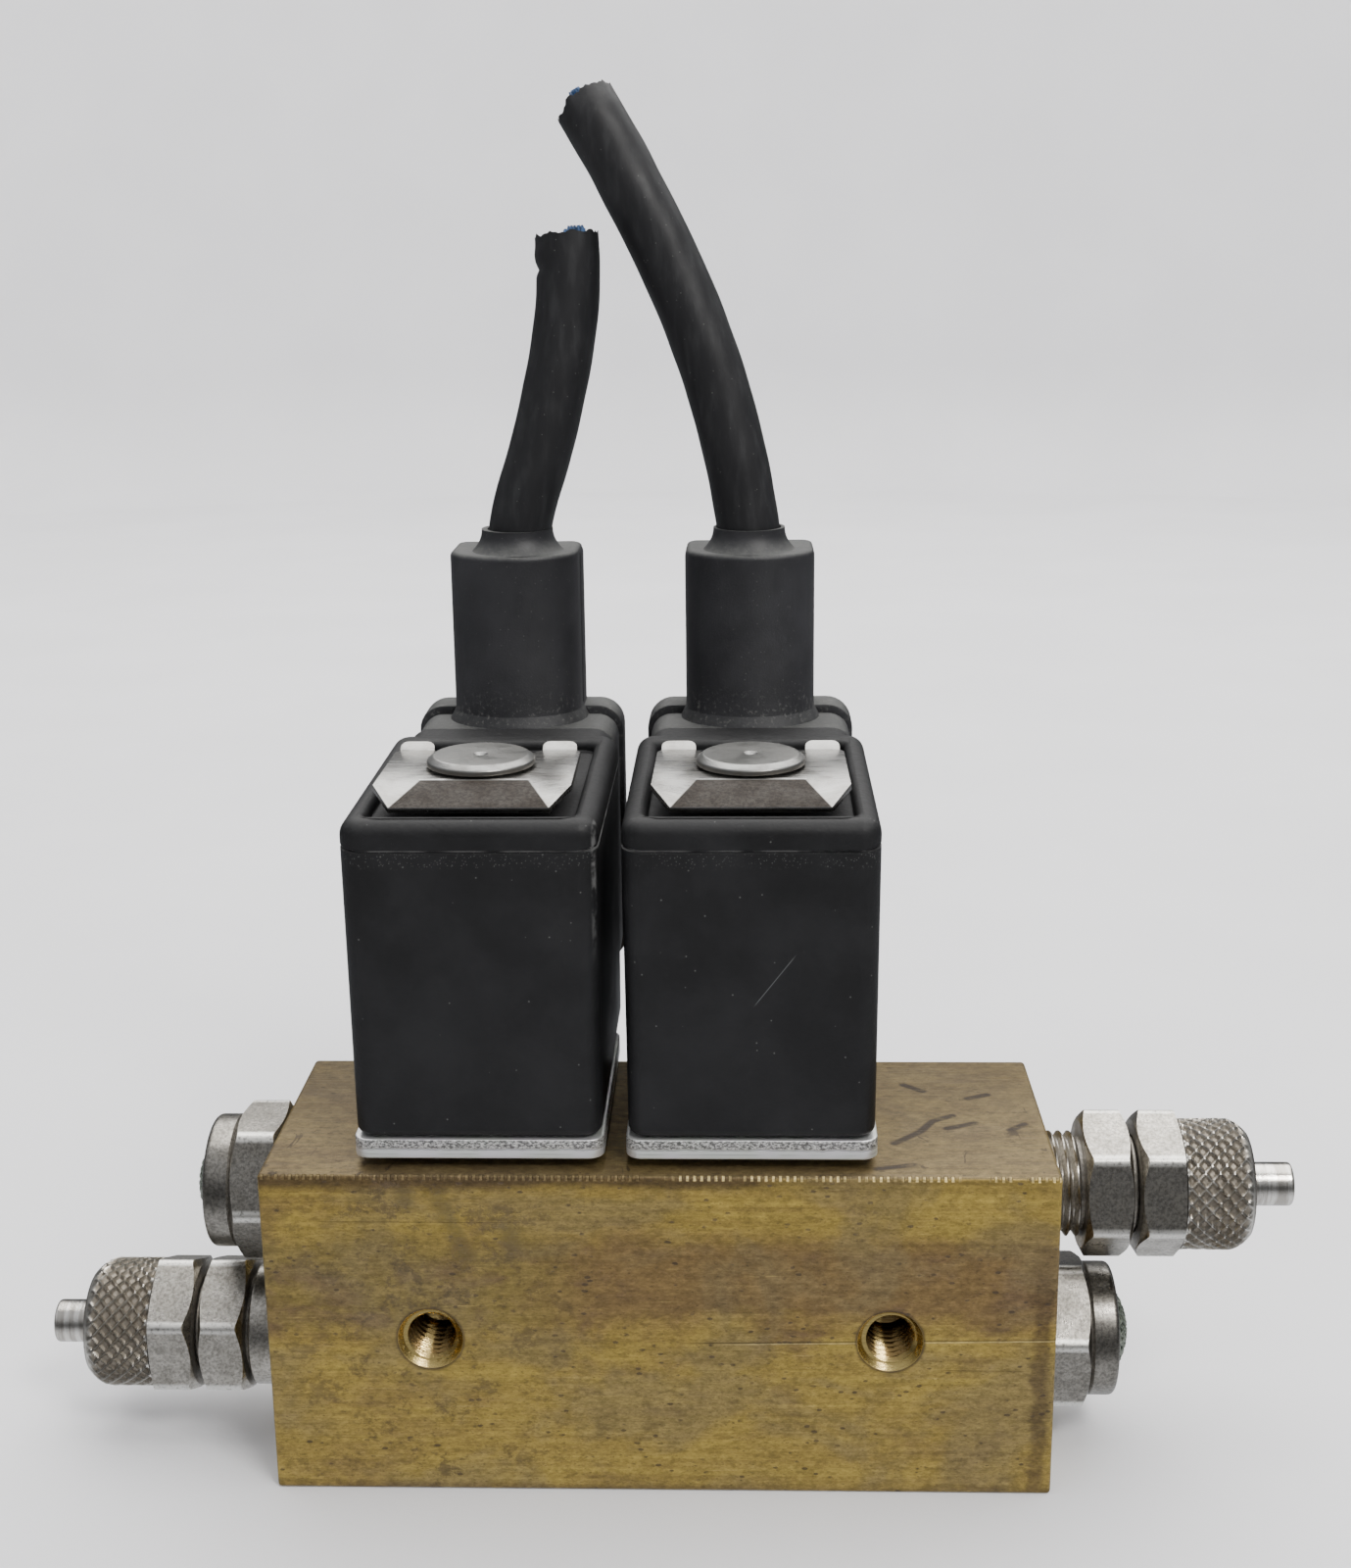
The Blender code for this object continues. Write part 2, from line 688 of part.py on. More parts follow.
def screw_hole(start, end, radius):
    return placed(disc(radius, start, end), TO_BACK, (0, 0, SCREW_Z))


def make_blades(side, frame):
    for name in BLADES:
        blade = blade_box(name, BLADE_START, PLUG_STEP - 0.5 * MM)
        add_piece(f"{name}_{side}", blade, frame, ZINC, 0.3, 1.0)


def make_gasket(side, frame):
    corner = 2.0 * MM
    front = TERMINAL_BACK + GAP
    back = PLUG_FRONT - GAP
    gasket = upright(
        TERMINAL_HALF_WIDTH - GASKET_INSET,
        TERMINAL_BOTTOM + GASKET_INSET,
        TERMINAL_TOP - GASKET_INSET,
        corner,
        front,
        back,
    )
    clearance = 0.2 * MM
    holes = contact_holes(front - OVERRUN, back + OVERRUN, clearance)
    holes.append(screw_hole(front - OVERRUN, back + OVERRUN, SCREW_RADIUS + 2 * GAP))
    add_piece(f"connector_gasket_{side}", cut(gasket, *holes), frame, BLACK_RUBBER, 0.7)


def boss_outline():
    """Round at the front, straight sides to a flat back."""
    steps = 12
    outline = [(BOSS_RADIUS, BOSS_BACK), (-BOSS_RADIUS, BOSS_BACK)]
    for step in range(steps + 1):
        angle = pi + pi * step / steps
        outline.append((BOSS_RADIUS * cos(angle), BOSS_Y + BOSS_FLATNESS * BOSS_RADIUS * sin(angle)))
    return outline


def cable_collar(side):
    """The short cone on top of the boss that the cable comes out of."""
    profile = [
        (0, BOSS_TOP - 2 * MM),
        (COLLAR_RADIUS, BOSS_TOP - 2 * MM),
        (COLLAR_RADIUS, BOSS_TOP),
        (COLLAR_WAIST, BOSS_TOP + 0.9 * MM),
        (COLLAR_LIP, COLLAR_TOP),
        (0, COLLAR_TOP),
    ]
    x, y, _ = CABLE_ROUTE[side][COLLAR_POINT]
    lean_share = 0.6  # the collar stands between the cable's place inside the boss and at its lip
    return placed(turned(profile, FEW_SIDES), None, (lean_share * x * MM, y * MM, 0))


def cable_bore(side):
    """The hole for the cable, leaning as the cable does."""
    floor = CABLE_START - 0.6 * MM
    top = COLLAR_TOP + OVERRUN
    bore = disc(CABLE_BORE, floor, top)
    lean = bore_lean(side)
    x, y, _ = CABLE_ROUTE[side][0]
    shear = Matrix(((1, 0, lean), (0, 1, 0), (0, 0, 1)))
    return placed(bore, shear, (x * MM - lean * CABLE_START, y * MM, 0))


def make_connector(side, frame):
    front = upright(
        PLUG_HALF_WIDTH - PLUG_INSET,
        PLUG_BOTTOM + PLUG_RAISE,
        PLUG_TOP - PLUG_RAISE,
        PLUG_CORNER,
        PLUG_FRONT,
        PLUG_STEP + OVERRUN,
    )
    back = upright(PLUG_HALF_WIDTH, PLUG_BOTTOM, PLUG_TOP, PLUG_CORNER, PLUG_STEP, PLUG_BACK)
    rounded_end(back, 1, PLUG_BACK, 1.2 * MM)
    boss = prism(boss_outline(), PLUG_TOP - 4 * MM, BOSS_TOP)
    rounded_end(boss, 2, BOSS_TOP, 0.8 * MM)
    plug = joined(front, back, boss, cable_collar(side))
    clearance = 0.2 * MM
    head_seat = PLUG_BACK - 2.2 * MM
    holes = contact_holes(PLUG_FRONT - OVERRUN, PLUG_STEP, clearance)
    holes.append(screw_hole(PLUG_FRONT - OVERRUN, PLUG_BACK - OVERRUN, SCREW_RADIUS + 2 * GAP))
    holes.append(screw_hole(head_seat, PLUG_BACK + OVERRUN, SCREW_HEAD + 2 * GAP))
    plug = cut(plug, *holes, cable_bore(side))
    add_piece(f"connector_{side}", plug, frame, BLACK_PLASTIC, 0.55)


def bore_lean(side):
    """How far the cable moves sideways for each unit that it rises inside its boss."""
    start = CABLE_ROUTE[side][0]
    mouth = CABLE_ROUTE[side][COLLAR_POINT]
    return (mouth[0] - start[0]) / (mouth[2] - start[2])


def make_screw(side, frame):
    head_back = PLUG_BACK - 0.25 * MM
    head_front = PLUG_BACK - 2.1 * MM
    chamfer = 0.3 * MM
    outline = [
        (0, SCREW_END),
        (SCREW_RADIUS, SCREW_END),
        (SCREW_RADIUS, head_front),
        (SCREW_HEAD, head_front),
        (SCREW_HEAD, head_back - chamfer),
        (SCREW_HEAD - chamfer, head_back),
        (0, head_back),
    ]
    screw = placed(turned(outline, FEW_SIDES), TO_BACK, (0, 0, SCREW_Z))
    slot_reach = SCREW_HEAD + OVERRUN
    slot_half = 0.4 * MM
    slot = box(
        (-slot_reach, head_back - 0.8 * MM, SCREW_Z - slot_half),
        (slot_reach, head_back + OVERRUN, SCREW_Z + slot_half),
    )
    add_piece(f"connector_screw_{side}", cut(screw, slot), frame, ZINC, 0.3, 1.0)


def through_points(points, spacing):
    """Points at an even spacing on a smooth curve through the given points."""
    places = [Vector(point) * MM for point in points]
    ends = [2 * places[0] - places[1], *places, 2 * places[-1] - places[-2]]
    fine = []
    steps = 16
    for before, start, end, after in zip(ends, ends[1:], ends[2:], ends[3:]):
        for step in range(steps):
            t = step / steps
            fine.append(
                0.5
                * (
                    2 * start
                    + (end - before) * t
                    + (2 * before - 5 * start + 4 * end - after) * t**2
                    + (3 * start - before - 3 * end + after) * t**3
                )
            )
    fine.append(places[-1])
    total = sum((b - a).length for a, b in zip(fine, fine[1:]))
    count = round(total / spacing)
    even = [fine[0]]
    walked = 0.0
    for a, b in zip(fine, fine[1:]):
        walked += (b - a).length
        while len(even) < count and walked >= total * len(even) / count:
            even.append(b.copy())
    even.append(fine[-1])
    return even


def make_cable(side, frame):
    points = through_points(CABLE_ROUTE[side], CABLE_STEP)
    cable = add_wire(f"cable_{side}", points, CABLE_RADIUS, 4, frame)
    finish(cable, BLACK_RUBBER, 0.5, 0.0)


# --- retaining clip --------------------------------------------------------------------------


def make_clip(side, frame):
    """A sheet fork that slides into the core's groove, with a bent front edge and two raised lips
    at the back."""
    shape = bmesh.new()

    def at(x, y, z=CLIP_TOP):
        return shape.verts.new((x, y, z))

    arc_steps = 10
    low = CLIP_TOP - CLIP_DROP
    arc = []
    for step in range(arc_steps + 1):
        angle = -pi * step / arc_steps
        arc.append(at(CLIP_SLOT * cos(angle), CLIP_SLOT * sin(angle)))
    halves = []
    for sign in (1, -1):
        throat = at(sign * CLIP_SLOT, CLIP_BEND - 1 * MM)
        inner = at(sign * LIP_INNER, CLIP_BEND)
        outer = at(sign * LIP_OUTER, CLIP_BEND)
        shoulder = at(sign * 8.45 * MM, CLIP_BEND - 0.6 * MM)
        tip = at(sign * 8.55 * MM, CLIP_FOLD)
        facet = at(sign * CLIP_FACET[0], CLIP_FACET[1])
        corner = at(sign * 6.85 * MM, CLIP_FOLD - CLIP_REACH, low)
        shape.faces.new((tip, corner, facet))
        lip = [inner, outer]
        for x, share in ((LIP_OUTER, 0.4), (LIP_OUTER - 0.5 * MM, 1), (LIP_INNER + 0.5 * MM, 1), (LIP_INNER, 0.4)):
            lip.append(at(sign * x, CLIP_BEND + share * LIP_RUN, CLIP_TOP + share * LIP_RISE))
        shape.faces.new(lip)
        halves.append((throat, inner, outer, shoulder, tip, facet, corner))
    right, left = halves
    shape.faces.new([*right[5::-1], *arc, *left[:6]])
    shape.faces.new((left[5], left[6], right[6], right[5]))
    shape.normal_update()
    bmesh.ops.triangulate(shape, faces=shape.faces)
    bmesh.ops.recalc_face_normals(shape, faces=shape.faces)
    if sum(face.normal.z for face in shape.faces) < 0:
        bmesh.ops.reverse_faces(shape, faces=shape.faces)
    clip = add_sheet(f"retaining_clip_{side}", shape, frame, CLIP_SHEET)
    finish(clip, STEEL, 0.22, 1.0)


def add_sheet(name, shape, parent, thickness):
    """A piece of sheet metal: the shape is its upper face."""
    thing = to_object(name, shape)
    solidify = thing.modifiers.new("sheet", "SOLIDIFY")
    solidify.thickness = thickness
    solidify.offset = -1
    thing.data.shade_smooth()
    thing.data.set_sharp_from_angle(angle=SMOOTH_ANGLE)
    thing.parent = parent
    return thing


# --- fittings and silencers ------------------------------------------------------------------


def hexagon(flats, bottom, top, corner, chamfer_low, chamfer_high):
    """A hexagon bar with turned chamfers, whose lengths along the bar are given. corner is the
    angle of one corner about Z."""
    circle = flats / 2 / cos(pi / 6)
    outline = []
    for step in range(6):
        angle = corner + tau * step / 6
        outline.append((circle * cos(angle), circle * sin(angle)))
    outside = circle * 1.05
    face = flats / 2 * 0.96
    profile = [(0, bottom), (face, bottom), (outside, bottom + chamfer_low)]
    profile += [(outside, top - chamfer_high), (face, top), (0, top)]
    bar = prism(outline, bottom - OVERRUN, top + OVERRUN)
    return combined(bar, [turned(profile, SIDES)], "INTERSECT")


def corner_turn(kind, side):
    """The local angle of a hexagon's corner, from its angle above the front."""
    return -pi / 2 - SIDE_SIGN[side] * CORNER_ANGLE[kind, side]


def fitting_shoulder(hex_start, plain):
    """Outline of the stretch between the block and the hexagon: a plain collar or bare thread."""
    if not plain:
        return [
            (THREAD_RADIUS, 0),
            *thread_profile(THREAD_ROOT, THREAD_RADIUS, THREAD_PITCH, 0, hex_start),
            (THREAD_ROOT, hex_start + 1 * MM),
        ]
    waist = 4.6 * MM
    edge = 0.4 * MM
    return [
        (THREAD_RADIUS, GAP),
        (FITTING_COLLAR - edge, GAP),
        (FITTING_COLLAR, GAP + edge),
        (FITTING_COLLAR, hex_start - 0.5 * MM),
        (waist, hex_start - 0.2 * MM),
        (waist, hex_start + 1 * MM),
    ]


def make_fitting(side, frame):
    shift = FITTING_SHIFT[side]
    hex_start = HEX_START + shift
    hex_end = HEX_END + shift
    corner = corner_turn("fitting", side)
    step_down = 0.3 * MM
    outline = [
        (SPIGOT_BORE, THREAD_INSIDE),
        (THREAD_RADIUS - 0.5 * MM, THREAD_INSIDE),
        (THREAD_RADIUS, THREAD_INSIDE + 0.5 * MM),
        *fitting_shoulder(hex_start, shift > 0),
        (FITTING_NECK, hex_start + 1 * MM),
        (FITTING_NECK, hex_end + 0.5 * MM),
        (FITTING_NECK - step_down, hex_end + 0.8 * MM),
        (FITTING_NECK - step_down, CONE_START + shift),
        (FITTING_CONE, CONE_START + shift),
        (SPIGOT_RADIUS, CONE_END + shift),
        (SPIGOT_RADIUS, SPIGOT_END[side] - 0.2 * MM),
        (SPIGOT_RADIUS - 0.2 * MM, SPIGOT_END[side]),
        (SPIGOT_BORE, SPIGOT_END[side]),
    ]
    core = turned(outline, FEW_SIDES)
    hollow = disc(SPIGOT_BORE + 1.5 * MM, 0, hex_end + OVERRUN)
    bar = cut(hexagon(FITTING_FLATS, hex_start, hex_end, corner, SHORT_CHAMFER, LONG_CHAMFER), hollow)
    add_piece(f"fitting_body_{side}", joined(core, bar), frame, NICKEL, 0.3, 1.0)
    make_union_nut(side, frame, shift, corner)


def make_union_nut(side, frame, shift, corner):
    start = NUT_START + shift
    hex_stop = NUT_HEX_END + shift
    end = NUT_END + shift
    knurled = [
        (0, hex_stop - OVERRUN),
        (KNURL_RADIUS, hex_stop - OVERRUN),
        (KNURL_RADIUS, end - 1.9 * MM),
        (KNURL_RADIUS - 0.4 * MM, end - 0.8 * MM),
        (KNURL_RADIUS - 1.1 * MM, end),
        (0, end),
    ]
    tube_hole = FITTING_CONE + 0.1 * MM
    bore = [
        (0, start - OVERRUN),
        (FITTING_NECK, start - OVERRUN),
        (FITTING_NECK, CONE_START + shift + 0.4 * MM),
        (tube_hole, CONE_END + shift - 0.1 * MM),
        (tube_hole, end + OVERRUN),
        (0, end + OVERRUN),
    ]
    bar = hexagon(FITTING_FLATS, start, hex_stop, corner, SHORT_CHAMFER, SHORT_CHAMFER)
    nut = cut(joined(bar, turned(knurled, SIDES)), turned(bore, FEW_SIDES))
    add_piece(f"union_nut_{side}", nut, frame, NICKEL, 0.35, 1.0)


def make_silencer(side, frame):
    corner = corner_turn("silencer", side)
    seat = SILENCER_END - MESH_SEAT_DEPTH
    shoulder = SILENCER_HEX_END - OVERRUN
    outline = [
        (SILENCER_BORE, SILENCER_INSIDE),
        (THREAD_RADIUS - 0.5 * MM, SILENCER_INSIDE),
        (THREAD_RADIUS, SILENCER_INSIDE + 0.5 * MM),
        (THREAD_RADIUS, 1 * MM),
        (SILENCER_RADIUS - 0.2 * MM, shoulder),
        (SILENCER_RADIUS, shoulder + 0.2 * MM),
        (SILENCER_RADIUS, SILENCER_END - 1.2 * MM),
        (SILENCER_RADIUS - 0.35 * MM, SILENCER_END - 0.35 * MM),
        (SILENCER_RADIUS - 1.2 * MM, SILENCER_END),
        (MESH_SEAT, SILENCER_END),
        (MESH_SEAT, seat),
        (SILENCER_BORE, seat),
    ]
    hollow = disc(SILENCER_BORE + 0.8 * MM, -OVERRUN, SILENCER_HEX_END + OVERRUN)
    bar = hexagon(SILENCER_FLATS, GAP, SILENCER_HEX_END, corner, SHORT_CHAMFER, SHORT_CHAMFER)
    bar = cut(bar, hollow)
    body = joined(turned(outline, SIDES), bar)
    add_piece(f"silencer_body_{side}", body, frame, NICKEL, 0.3, 1.0)
    make_mesh(side, frame, seat)


def make_mesh(side, frame, seat):
    """The wire dome, as one lens-shaped piece."""
    bottom = seat + 0.1 * MM
    rim = SILENCER_END - 0.2 * MM
    rise = MESH_TOP - rim
    ball = (MESH_RADIUS**2 + rise**2) / (2 * rise)
    steps = 5
    dome = [(0, bottom), (MESH_RADIUS, bottom)]
    for step in range(steps):
        radius = MESH_RADIUS * (1 - step / steps)
        dome.append((radius, MESH_TOP - ball + sqrt(ball**2 - radius**2)))
    dome.append((0, MESH_TOP))
    add_piece(f"silencer_mesh_{side}", turned(dome, FEW_SIDES), frame, MESH_GREEN, 0.5, 0.6)


# --- the whole valve block -------------------------------------------------------------------


def make_valve(side):
    frame = add_frame(f"valve_{side}", (VALVE_X[side], 0, 0))
    make_tube(side, frame)
    make_core(side, frame)
    make_plunger(side, frame)
    make_spring(side, frame)
    make_o_ring(side, frame)
    make_casing(side, frame)
    make_yoke(side, frame)
    make_bobbin(side, frame)
    make_blades(side, frame)
    make_gasket(side, frame)
    make_connector(side, frame)
    make_screw(side, frame)
    make_cable(side, frame)
    make_clip(side, frame)


def make_end(side):
    """The left end has its fitting low and its silencer high, and the right end the other way."""
    heights = {"left": (LOWER_PORT_Z, UPPER_PORT_Z), "right": (UPPER_PORT_Z, LOWER_PORT_Z)}
    fitting_z, silencer_z = heights[side]
    end = SIDE_SIGN[side] * BLOCK_LENGTH / 2
    turn = OUTWARDS[side]
    make_fitting(side, add_frame(f"fitting_port_{side}", (end, 0, fitting_z), turn))
    make_silencer(side, add_frame(f"silencer_port_{side}", (end, 0, silencer_z), turn))


def main():
    for thing in list(bpy.data.objects):
        bpy.data.objects.remove(thing)
    make_block()
    for side in ("left", "right"):
        make_valve(side)
        make_end(side)


main()
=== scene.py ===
"""Looks of the twin solenoid valve block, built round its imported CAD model. Lengths are in
millimetres in the row frame: +X along the block, -Y the front, +Z up."""

from math import atan2, cos, exp, pi, radians, sin, sqrt, tan, tau

import bmesh
import bpy
from mathutils import Matrix, Vector


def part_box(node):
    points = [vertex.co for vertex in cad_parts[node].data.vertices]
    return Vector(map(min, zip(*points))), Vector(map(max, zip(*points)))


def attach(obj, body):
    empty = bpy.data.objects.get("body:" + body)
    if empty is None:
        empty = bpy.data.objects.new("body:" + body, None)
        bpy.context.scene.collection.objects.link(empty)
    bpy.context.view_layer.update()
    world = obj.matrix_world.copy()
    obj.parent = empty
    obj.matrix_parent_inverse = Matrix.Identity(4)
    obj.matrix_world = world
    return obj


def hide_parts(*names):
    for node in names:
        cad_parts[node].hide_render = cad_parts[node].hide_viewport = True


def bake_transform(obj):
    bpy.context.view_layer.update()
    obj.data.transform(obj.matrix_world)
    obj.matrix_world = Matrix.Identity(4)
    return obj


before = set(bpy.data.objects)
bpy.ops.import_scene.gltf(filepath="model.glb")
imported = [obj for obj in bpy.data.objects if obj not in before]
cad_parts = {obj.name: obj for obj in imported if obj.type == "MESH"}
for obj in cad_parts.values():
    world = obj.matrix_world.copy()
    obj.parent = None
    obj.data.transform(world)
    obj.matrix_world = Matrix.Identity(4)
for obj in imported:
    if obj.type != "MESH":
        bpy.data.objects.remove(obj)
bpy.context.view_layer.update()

MM = 0.001
SIDES = 96
SMOOTH_ANGLE = radians(30)
SIDE_SIGN = {"left": -1, "right": 1}
TO_BACK = Matrix.Rotation(-pi / 2, 3, "X")
TO_FRONT = Matrix.Rotation(pi / 2, 3, "X")
TO_RIGHT = Matrix.Rotation(pi / 2, 3, "Y")
TO_LEFT = Matrix.Rotation(-pi / 2, 3, "Y")
OUTWARDS = {"left": TO_LEFT, "right": TO_RIGHT}


# --- places taken from the frame ---


class Box:
    """A CAD node's box, in millimetres."""

    def __init__(self, node):
        low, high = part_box(node)
        self.low = low / MM
        self.high = high / MM
        self.centre = (self.low + self.high) / 2
        self.size = self.high - self.low


BLOCK = Box("manifold_block")
CORE = {side: Box(f"fixed_core_{side}") for side in SIDE_SIGN}
FITTING = {side: Box(f"fitting_body_{side}") for side in SIDE_SIGN}
SILENCER = {side: Box(f"silencer_body_{side}") for side in SIDE_SIGN}
VALVE_X = {side: CORE[side].centre.x for side in SIDE_SIGN}
BLOCK_END = BLOCK.high.x

# Block
BLOCK_EDGE = 0.35
BOLT_X = 20.4
BOLT_Z = 15.2
BOLT_CORE = 2.1
BOLT_CREST = 2.5
BOLT_PITCH = 0.8
BOLT_SINK = 2.95
BOLT_DEPTH = 8.0
PORT_BORE = 5.0
PORT_DEPTH = 11.0
GALLERY = 1.25
CHAMBER = 6.0
CHAMBER_FLOOR = 20.5
SEAT_TOP = 21.7
SEAL_GROOVE = 7.7
SEAL_GROOVE_FLOOR = 29.5

# Coil
COIL_HALF = 11.0
COIL_FRONT = -11.4
COIL_BACK = 19.9
COIL_BOTTOM = 33.85
COIL_SEAM = 60.0
COIL_TOP = 62.6
COIL_CORNER = 1.8
COIL_DRAFT = 0.2
COIL_BORE = 5.2
POCKET = (-8.9, -9.7, 8.9, 16.5)
POCKET_FLOOR = 61.6
TERMINAL_HALF = 10.3
TERMINAL_Z = (35.0, 62.1)
TERMINAL_BACK = 24.3
CAVITY_HALF = 9.2
CAVITY_FRONT = -9.4
CAVITY_TOP = 59.9
YOKE_BOTTOM = 31.9
YOKE_SHEET = 1.8
YOKE_BACK = 14.2
YOKE_TOP = 59.7

# Fixed core, and the groove that the clip sits in
CORE_STEM = 4.42
CORE_COLLAR = 4.9
CORE_GROOVE = 3.85
COLLAR_Z = (60.15, 63.4)
GROOVE_Z = (63.7, 64.75)

# Clip
CLIP_TOP = 64.55
CLIP_SHEET = 0.6
CLIP_SLOT = 4.05
CLIP_FOLD = -6.6
CLIP_HALF = 8.55
CLIP_SHOULDER = 8.45
CLIP_CORNER = 6.85
CLIP_FACET = (4.7, -4.9)
CLIP_DROP = 1.3
CLIP_REACH = 2.7
CLIP_BEND = 5.3
LIP_INNER = 4.95
LIP_OUTER = 8.1
LIP_RUN = 0.8
LIP_RISE = 0.67
LIP_CORNER = 0.7

# Return spring
SPRING_FLOOR = 37.0
SPRING_RADIUS = 1.65
SPRING_WIRE = 0.22
SPRING_TURNS = 6

# Connector
PLUG_FRONT = 25.9
PLUG_STEP = 32.9
PLUG_BACK = 38.0
PLUG_HALF = 10.65
PLUG_Z = (34.4, 62.4)
PLUG_INSET = 0.4
PLUG_RAISE = 0.8
BOSS_RADIUS = 6.5
BOSS_Y = 31.5
BOSS_FLATNESS = 0.82
BOSS_TOP = 79.0
BOSS_BACK = 37.1
BOSS_SLAB = 33.2
COLLAR_BASE = 4.55
COLLAR_LIP = 3.6
COLLAR_TOP = 81.2
SCREW_Z = 45.0
SCREW_HOLE = 1.8
SCREW_SINK = 3.1
BLADE_START = 15.4
BLADES = ((-4.6, 52.0, 0.8, 6.3), (4.6, 52.0, 0.8, 6.3), (0.0, 39.6, 6.3, 0.8))

# Cables: (x from the valve's axis, y, z)
CABLE_RADIUS = 3.2
COLLAR_POINT = 2
CABLE_ROUTE = {
    "left": (
        (0.1, 31.1, 71.0), (0.3, 31.1, 76.0), (0.7, 31.1, 80.9), (1.6, 31.3, 84.7), (2.9, 31.7, 88.8),
        (4.0, 32.1, 92.9), (4.9, 32.5, 96.8), (5.5, 32.9, 100.3), (5.9, 33.3, 103.8), (6.0, 33.6, 106.8),
        (5.9, 34.0, 109.9),
    ),
    "right": (
        (0.2, 31.1, 71.0), (0.1, 31.1, 76.0), (-0.1, 31.1, 80.8), (-0.7, 31.5, 84.6), (-1.6, 31.9, 88.9),
        (-3.2, 32.8, 95.0), (-4.8, 33.5, 99.6), (-6.4, 34.2, 103.6), (-7.9, 34.8, 106.9),
        (-9.3, 35.3, 109.9), (-11.4, 36.0, 113.8), (-13.2, 36.7, 117.2), (-16.2, 37.7, 122.3),
    ),
}

# Cut ends of the cables
JACKET_WALL = 0.85
END_SLOPE = 0.12
END_RISE = 1.0
BITS = {"left": (0.8, 0.95), "right": (-0.35, 0.65)}
NOTCH_BELOW_END = 3.6
TORN_LENGTH = 2.2

# Fittings and silencers, measured outwards from the block's end face
THREAD_CREST = 4.85
THREAD_ROOT = 4.3
THREAD_PITCH = 0.907
FITTING_FLATS = 12.0
FITTING_SHIFT = {"left": 0.8, "right": 0.0}
FITTING_HEX = (3.5, 7.7)
CONE = (13.9, 15.9)
NUT_START = 8.4
NUT_CONE = (14.3, 15.8)
NUT_HEX_END = 12.4
NUT_END = 18.8
KNURL_COUNT = 26
KNURL_PITCH = 1.28
KNURL_DEPTH = 0.33
KNURL_RADIUS = 6.0
KNURL_CHAMFER = 1.9
KNURL_DROP = 1.1
SILENCER_FLATS = 13.0
SILENCER_END = 7.05
MESH_SEAT = 4.55
WIRE_PITCH = 0.62
WIRE = 0.13
CORNER_ANGLE = {
    ("fitting", "left"): radians(24), ("fitting", "right"): radians(43), ("silencer", "left"): radians(58),
    ("silencer", "right"): radians(16),
}

# Marks on the block: (start, end) places seen from above, and (line, lowest z, highest z) smudges
TOP_STROKES = (
    ((21.0, -6.0), (23.5, -3.5)), ((23.5, -3.5), (24.8, -1.2)), ((24.8, -1.2), (26.7, 0.0)),
    ((26.0, -2.8), (28.6, -1.6)), ((31.7, -3.1), (33.1, -1.8)), ((28.5, 3.9), (30.4, 4.8)),
    ((22.7, 7.1), (24.4, 5.6)), ((19.2, -11.2), (22.3, -10.4)),
)
FRONT_SMUDGES = ((-12.3, 27.8, 30.3), (-9.1, 22.7, 30.1), (-4.4, 23.5, 26.6))
SMUDGE_LEAN = 0.34

# Studio and lights, in metres
STUDIO_RADIUS = 0.76
STUDIO_BEND = 0.05
STUDIO_WALL = 0.42
STUDIO_TONE = (0.76, 0.76, 0.775)
SKY_TO = 0.85
SKY_LOW = 0.12
SKY_HIGH = 0.75
GROUND_HIGH = 0.95
LIGHTS = (
    ("overhead", (0.05, 0.40, 0.85), (0, 0, 0.03), 1.15, 16.0, (1, 0.985, 0.96)),
    ("key", (0.40, -0.50, 0.80), (0, 0, 0.04), 0.3, 6.2, (1, 0.98, 0.95)),
)


# --- shapes ---


def turned(profile, sides=SIDES, closed=True):
    """A closed outline (or an open line) of (radius, height) points, turned about Z."""
    shape = bmesh.new()
    rings = []
    for radius, height in profile:
        angles = [tau * step / sides for step in range(sides if radius else 1)]
        rings.append([shape.verts.new((radius * cos(a), radius * sin(a), height)) for a in angles])
    for ring, following in zip(rings, rings[1:] + rings[: int(closed)]):
        if len(ring) == len(following) == 1:
            continue
        for step in range(sides):
            after = (step + 1) % sides
            corners = [ring[step % len(ring)], ring[after % len(ring)]]
            corners += [following[after % len(following)], following[step % len(following)]]
            shape.faces.new(list(dict.fromkeys(corners)))
    bmesh.ops.recalc_face_normals(shape, faces=shape.faces)
    return shape


def wavy(rows, sides, radius_at):
    """A solid about Z whose radius at each height depends on the angle."""
    sections = []
    for z in rows:
        ring = []
        for step in range(sides):
            angle = tau * step / sides
            radius = radius_at(angle, z)
            ring.append((radius * cos(angle), radius * sin(angle), z))
        sections.append(ring)
    return stacked(sections)


def stacked(sections):
    """A solid through closed sections with the same number of points."""
    shape = bmesh.new()
    rings = [[shape.verts.new(point) for point in section] for section in sections]
    shape.faces.new(rings[0][::-1])
    shape.faces.new(rings[-1])
    count = len(rings[0])
    for low, high in zip(rings, rings[1:]):
        for step in range(count):
            after = (step + 1) % count
            shape.faces.new((low[step], low[after], high[after], high[step]))
    bmesh.ops.recalc_face_normals(shape, faces=shape.faces)
    return shape


def filleted(corners, steps=4):
    """A closed outline; a corner with a third number is rounded by that radius."""
    outline = []
    for index, corner in enumerate(corners):
        here = Vector(corner[:2])
        if len(corner) == 2:
            outline.append(tuple(here))
            continue
        before = Vector(corners[index - 1][:2]) - here
        after = Vector(corners[(index + 1) % len(corners)][:2]) - here
        reach = corner[2] / tan(before.angle(after) / 2)
        reach = min(reach, 0.49 * before.length, 0.49 * after.length)
        start = here + before.normalized() * reach
        end = here + after.normalized() * reach
        for step in range(steps + 1):
            t = step / steps
            outline.append(tuple((1 - t) ** 2 * start + 2 * t * (1 - t) * here + t * t * end))
    return outline


